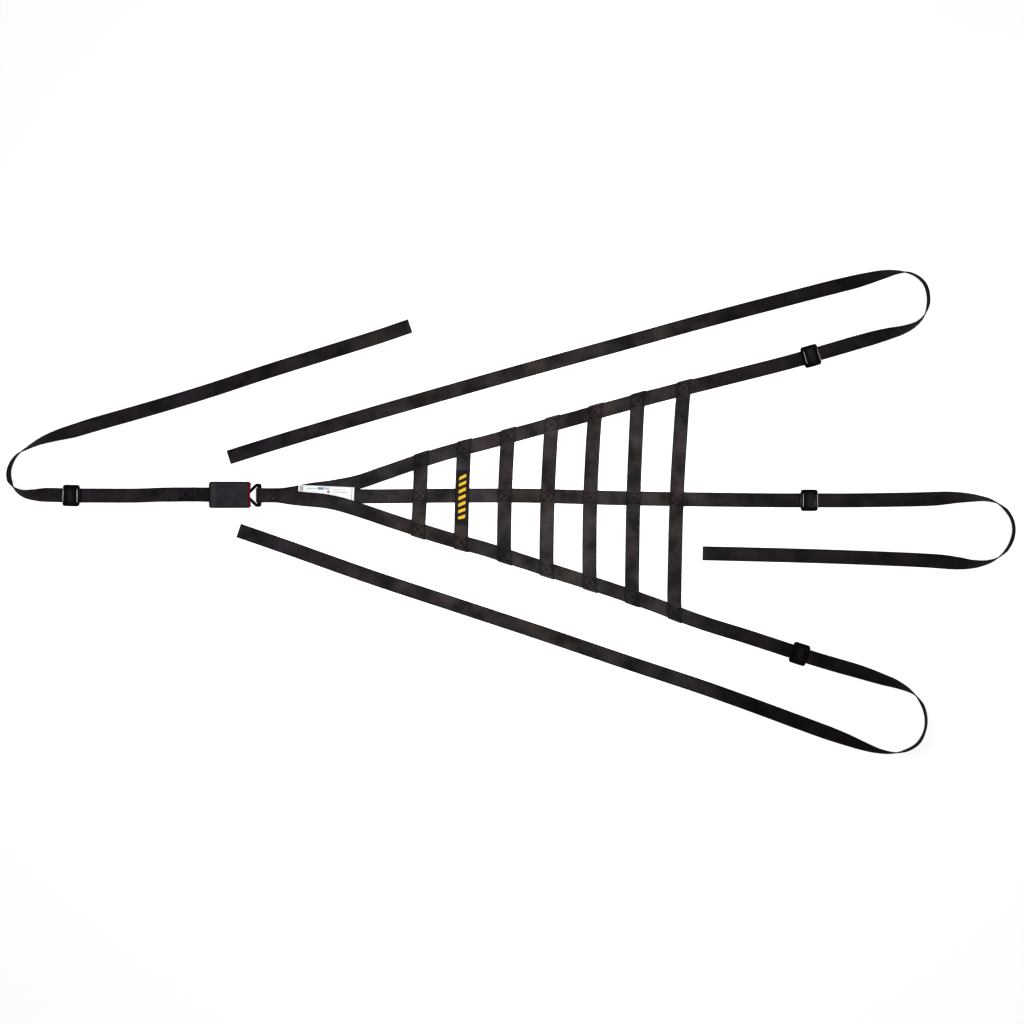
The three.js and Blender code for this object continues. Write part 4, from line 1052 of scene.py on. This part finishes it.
def tongue():
    """Latch tongue: a triangular steel ring with a round cross bar and a flat blade into the buckle."""
    slant = TONGUE.leg * math.sqrt(2)
    set_back = 2.2
    shoulder = TONGUE.bar_left - set_back
    neck = shoulder - (TONGUE.half_width - BLADE.half_width)
    upper_side = [
        (TONGUE.bar_right, TONGUE.half_width, 4.6),
        (shoulder, TONGUE.half_width, 3.0),
        (neck, BLADE.half_width, 2.0),
        (BLADE.end + 2.5, BLADE.half_width, 0.8),
        (BLADE.end, BLADE.half_width - 2.5, 0.8),
    ]
    lower_side = [(x, -y, r) for x, y, r in reversed(upper_side)]
    window_half = TONGUE.half_width - slant + set_back
    window = [(TONGUE.bar_left, window_half, 1.0), (TONGUE.bar_left - window_half, 0, 1.0),
              (TONGUE.bar_left, -window_half, 1.0)]
    hole = rectangle(BLADE.hole_x, 0, BLADE.hole / 2, BLADE.hole / 2, 1.0)
    outlines = [rounded_outline(rows) for rows in (upper_side + lower_side, window, hole)]
    place = Matrix.Translation((0, TONGUE.y, TONGUE.z))
    piece = plate("enamelled_tongue", outlines, TONGUE.thick, (1.8, TONGUE.thick / 2), place, STEEL,
                  coat=ENAMEL)
    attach(piece, "net")
    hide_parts("latch_tongue")


tongue()


def block(low, high):
    """Box mesh between two corners in millimetres, for cutting."""
    mesh = bpy.data.meshes.new("cutter")
    size = [b - a for a, b in zip(low, high)]
    middle = [(a + b) / 2 for a, b in zip(low, high)]
    with edited(mesh) as work:
        bmesh.ops.create_cube(work, size=1)
        work.transform(Matrix.Scale(MM, 4) @ Matrix.Translation(middle) @ Matrix.Diagonal((*size, 1)))
    return mesh


def housing():
    """Buckle housing: rounded along its top edges, lower and rounder at the strap's end, hollow inside."""
    left, right, y = HOUSING.left, HOUSING.right, HOUSING.y
    end_round = 5.0
    top_round = 3.2
    low_round = 1.0
    corners = ((1, -1, low_round), (1, 1, top_round), (-1, 1, top_round), (-1, -1, low_round))
    slope_start = left + 15
    slope_drop = 6.0
    # How much of the end's rounding the sides, the top and the bottom take, and the softened rim of the mouth
    pull_side, pull_top, pull_low = 0.8, 0.9, 0.25
    mouth_lip = 0.3
    stations = list(left + end_round * (1 - np.cos(np.linspace(0, np.pi / 2, 9))))
    stations += list(np.linspace(left + end_round, slope_start + 2, 9)[1:])
    stations += list(np.linspace(slope_start + 2, right - 1, 14)[1:]) + [right - mouth_lip, right]
    rings = []
    for x in stations:
        into = min(1.0, (x - left) / end_round)
        pull = end_round * (1 - math.sqrt(max(0.0, 1 - (1 - into) ** 2)))
        lip = mouth_lip if x == right else 0.0
        half = HOUSING.half_width - pull_side * pull - lip
        fall = np.clip((slope_start - x) / (slope_start - left), 0, 1)
        high = HOUSING.height - slope_drop * fall ** 1.5 - pull_top * pull - lip
        low = pull_low * pull + lip
        ring = []
        for sign_y, sign_z, r in corners:
            centre_y = sign_y * (half - r)
            centre_z = high - r if sign_z > 0 else low + r
            angles = np.linspace(0, np.pi / 2, 7)
            for a in angles if sign_y * sign_z > 0 else angles[::-1]:
                ring.append((x, y + centre_y + sign_y * r * math.cos(a), centre_z + sign_z * r * math.sin(a)))
        rings.append(ring)
    mesh = bpy.data.meshes.new("moulded_housing")
    with edited(mesh) as work:
        rows = [[work.verts.new(Vector(p) * MM) for p in ring] for ring in rings]
        for a, b in zip(rows, rows[1:]):
            for k, after in enumerate([*range(1, len(a)), 0]):
                work.faces.new((a[k], a[after], b[after], b[k]))
        for ring in (rows[0], rows[-1]):
            work.faces.new(ring)
    faces_out(mesh)

    # Rooms cut out of it, two corners each: for the button, the tongue, the webbing and the anchor bar
    pocket = HOUSING.half_width - HOUSING.wall
    strap_room = WEB_WIDTH / 2 + 0.9
    strap_top = ANCHOR.z + anchor_wrap + WEB_THICK / 2 + 2 * GAP
    strap_low = ANCHOR.z - anchor_wrap - WEB_THICK / 2 - 2 * GAP
    anchor_room = ANCHOR.radius + GAP
    half_bar = ANCHOR.length / 2 + GAP
    rooms = [
        ((BUTTON.back - BUTTON.travel - 1, y - pocket, BUTTON.low - BUTTON.clear),
         (right + 2, y + pocket, BUTTON.high + BUTTON.clear)),
        ((BLADE.end - 1, TONGUE.y - BLADE.half_width - 1, TONGUE.z - TONGUE.thick / 2 - GAP),
         (right + 2, TONGUE.y + BLADE.half_width + 1, TONGUE.z + TONGUE.thick / 2 + GAP)),
        ((left - 2, y - strap_room, strap_low), (ANCHOR.x + anchor_wrap + 1.2, y + strap_room, strap_top)),
        ((ANCHOR.x - anchor_room, y - half_bar, ANCHOR.z - anchor_room),
         (ANCHOR.x + anchor_room, y + half_bar, ANCHOR.z + anchor_room)),
    ]
    shell = linked("moulded_housing", mesh)
    cutters = []
    for low, high in rooms:
        cutter = linked("cutter", block(low, high))
        cutters.append(cutter)
        cut = shell.modifiers.new("room", "BOOLEAN")
        cut.operation = "DIFFERENCE"
        cut.solver = "EXACT"
        cut.object = cutter
    depsgraph = bpy.context.evaluated_depsgraph_get()
    final = bpy.data.meshes.new_from_object(shell.evaluated_get(depsgraph), depsgraph=depsgraph)
    shell.modifiers.clear()
    for cutter in cutters:
        bpy.data.objects.remove(cutter)
    shell.data = final
    final.materials.clear()
    final.materials.append(NYLON)
    sharpened(final, 40)
    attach(shell, "net")
    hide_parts("buckle_housing")


housing()


def button():
    """Release button: a red block with a slightly hollow face and softened edges."""
    half = HOUSING.half_width - HOUSING.wall - BUTTON.clear
    hollow = 1.6
    corner = 1.2
    face = [(BUTTON.front - hollow * (1 - t * t), t * (half - corner)) for t in np.linspace(-1, 1, 17)]
    rim = [(BUTTON.back, -half), (BUTTON.front - corner, -half)]
    rim += [(BUTTON.front - corner * (1 - math.sin(a)), -half + corner * (1 - math.cos(a)))
            for a in np.linspace(0, np.pi / 2, 6)[1:-1]]
    rim += face
    rim += [(x, -y) for x, y in reversed(rim[:6])]
    place = Matrix.Translation((0, HOUSING.y, (BUTTON.low + BUTTON.high) / 2))
    piece = plate("moulded_button", [rim], BUTTON.high - BUTTON.low, (0.7, 0.7), place, RED, rolls=3)
    sharpened(piece.data, 50)
    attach(piece, "button")
    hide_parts("release_button")


button()

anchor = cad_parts["anchor_bar"]
anchor.data.materials.clear()
anchor.data.materials.append(STEEL)

# Floor and backdrop, in metres; the drawn webbing rounds down to about 0.6 mm below the frame's zero
FLOOR_HALF = 20.0
FLOOR_Z = -0.0006
DOME_RADIUS = 20.0
sweep = bpy.data.meshes.new("floor")
around = ((-1, -1), (1, -1), (1, 1), (-1, 1))
sweep.from_pydata([(i * FLOOR_HALF, j * FLOOR_HALF, FLOOR_Z) for i, j in around], [], [(0, 1, 2, 3)])
dome_mesh = bpy.data.meshes.new("backdrop_dome")
with edited(dome_mesh) as shell:
    bmesh.ops.create_uvsphere(shell, u_segments=48, v_segments=24, radius=DOME_RADIUS)
    below = [spot for spot in shell.verts if spot.co.z < -0.001]
    bmesh.ops.delete(shell, geom=below, context="VERTS")
floor = linked("floor", sweep)
dome = linked("backdrop_dome", dome_mesh)
# Table and backdrop are only seen: black cloth and steel would pick up their glow along every edge
for stage_piece in (floor, dome):
    stage_piece.data.materials.append(OPAL)
    stage_piece.visible_diffuse = False
    stage_piece.visible_glossy = False
dome.visible_shadow = False

world = bpy.data.worlds.new("dim_studio")
bpy.context.scene.world = world
world.use_nodes = True
background = world.node_tree.nodes["Background"]
background.inputs["Color"].default_value = (1.0, 1.0, 1.0, 1.0)
background.inputs["Strength"].default_value = 0.06


def softbox(name, place, target, size, power, spread=180, glint=True):
    """An area light; spread is its grid's angle in degrees, and glint says whether shiny pieces show it."""
    lamp = bpy.data.lights.new(name, "AREA")
    lamp.spread = math.radians(spread)
    lamp.shape = "RECTANGLE"
    lamp.size, lamp.size_y = size
    lamp.energy = power
    holder = linked(name, lamp)
    holder.location = place
    holder.rotation_euler = (Vector(target) - Vector(place)).to_track_quat("-Z", "Y").to_euler()
    holder.visible_camera = False
    holder.visible_glossy = glint


# The strips are narrow and aimed, so that the slides' bars mirror them as thin bright lines
softbox("softbox_overhead", (0.05, 0.05, 0.6), (0.05, 0.05, 0), (0.6, 0.5), 3.05, glint=False)
softbox("strip_right", (2.3, 0.04, 1.6), (0.54, 0.02, 0), (0.12, 1.2), 0.72, spread=24)
softbox("strip_upper", (2.37, 0.87, 1.6), (0.54, 0.28, 0), (0.12, 1.2), 0.72, spread=24)
softbox("strip_left", (-2.6, 0.1, 1.6), (-0.8, 0, 0), (0.12, 1.6), 1.3, spread=24)

# Camera, straight above: its place in metres, the width of floor that fills the picture, and its sensor in mm
CAMERA_X = -0.00027
CAMERA_HEIGHT = 3.2
FRAME_WIDTH = 1.85507
SENSOR = 36.0
lens = bpy.data.cameras.new("camera")
lens.sensor_width = SENSOR
lens.lens = SENSOR * CAMERA_HEIGHT / FRAME_WIDTH
camera = linked("camera", lens)
camera.location = (CAMERA_X, 0.0, CAMERA_HEIGHT)
bpy.context.scene.camera = camera
bpy.context.scene.view_settings.view_transform = "Standard"
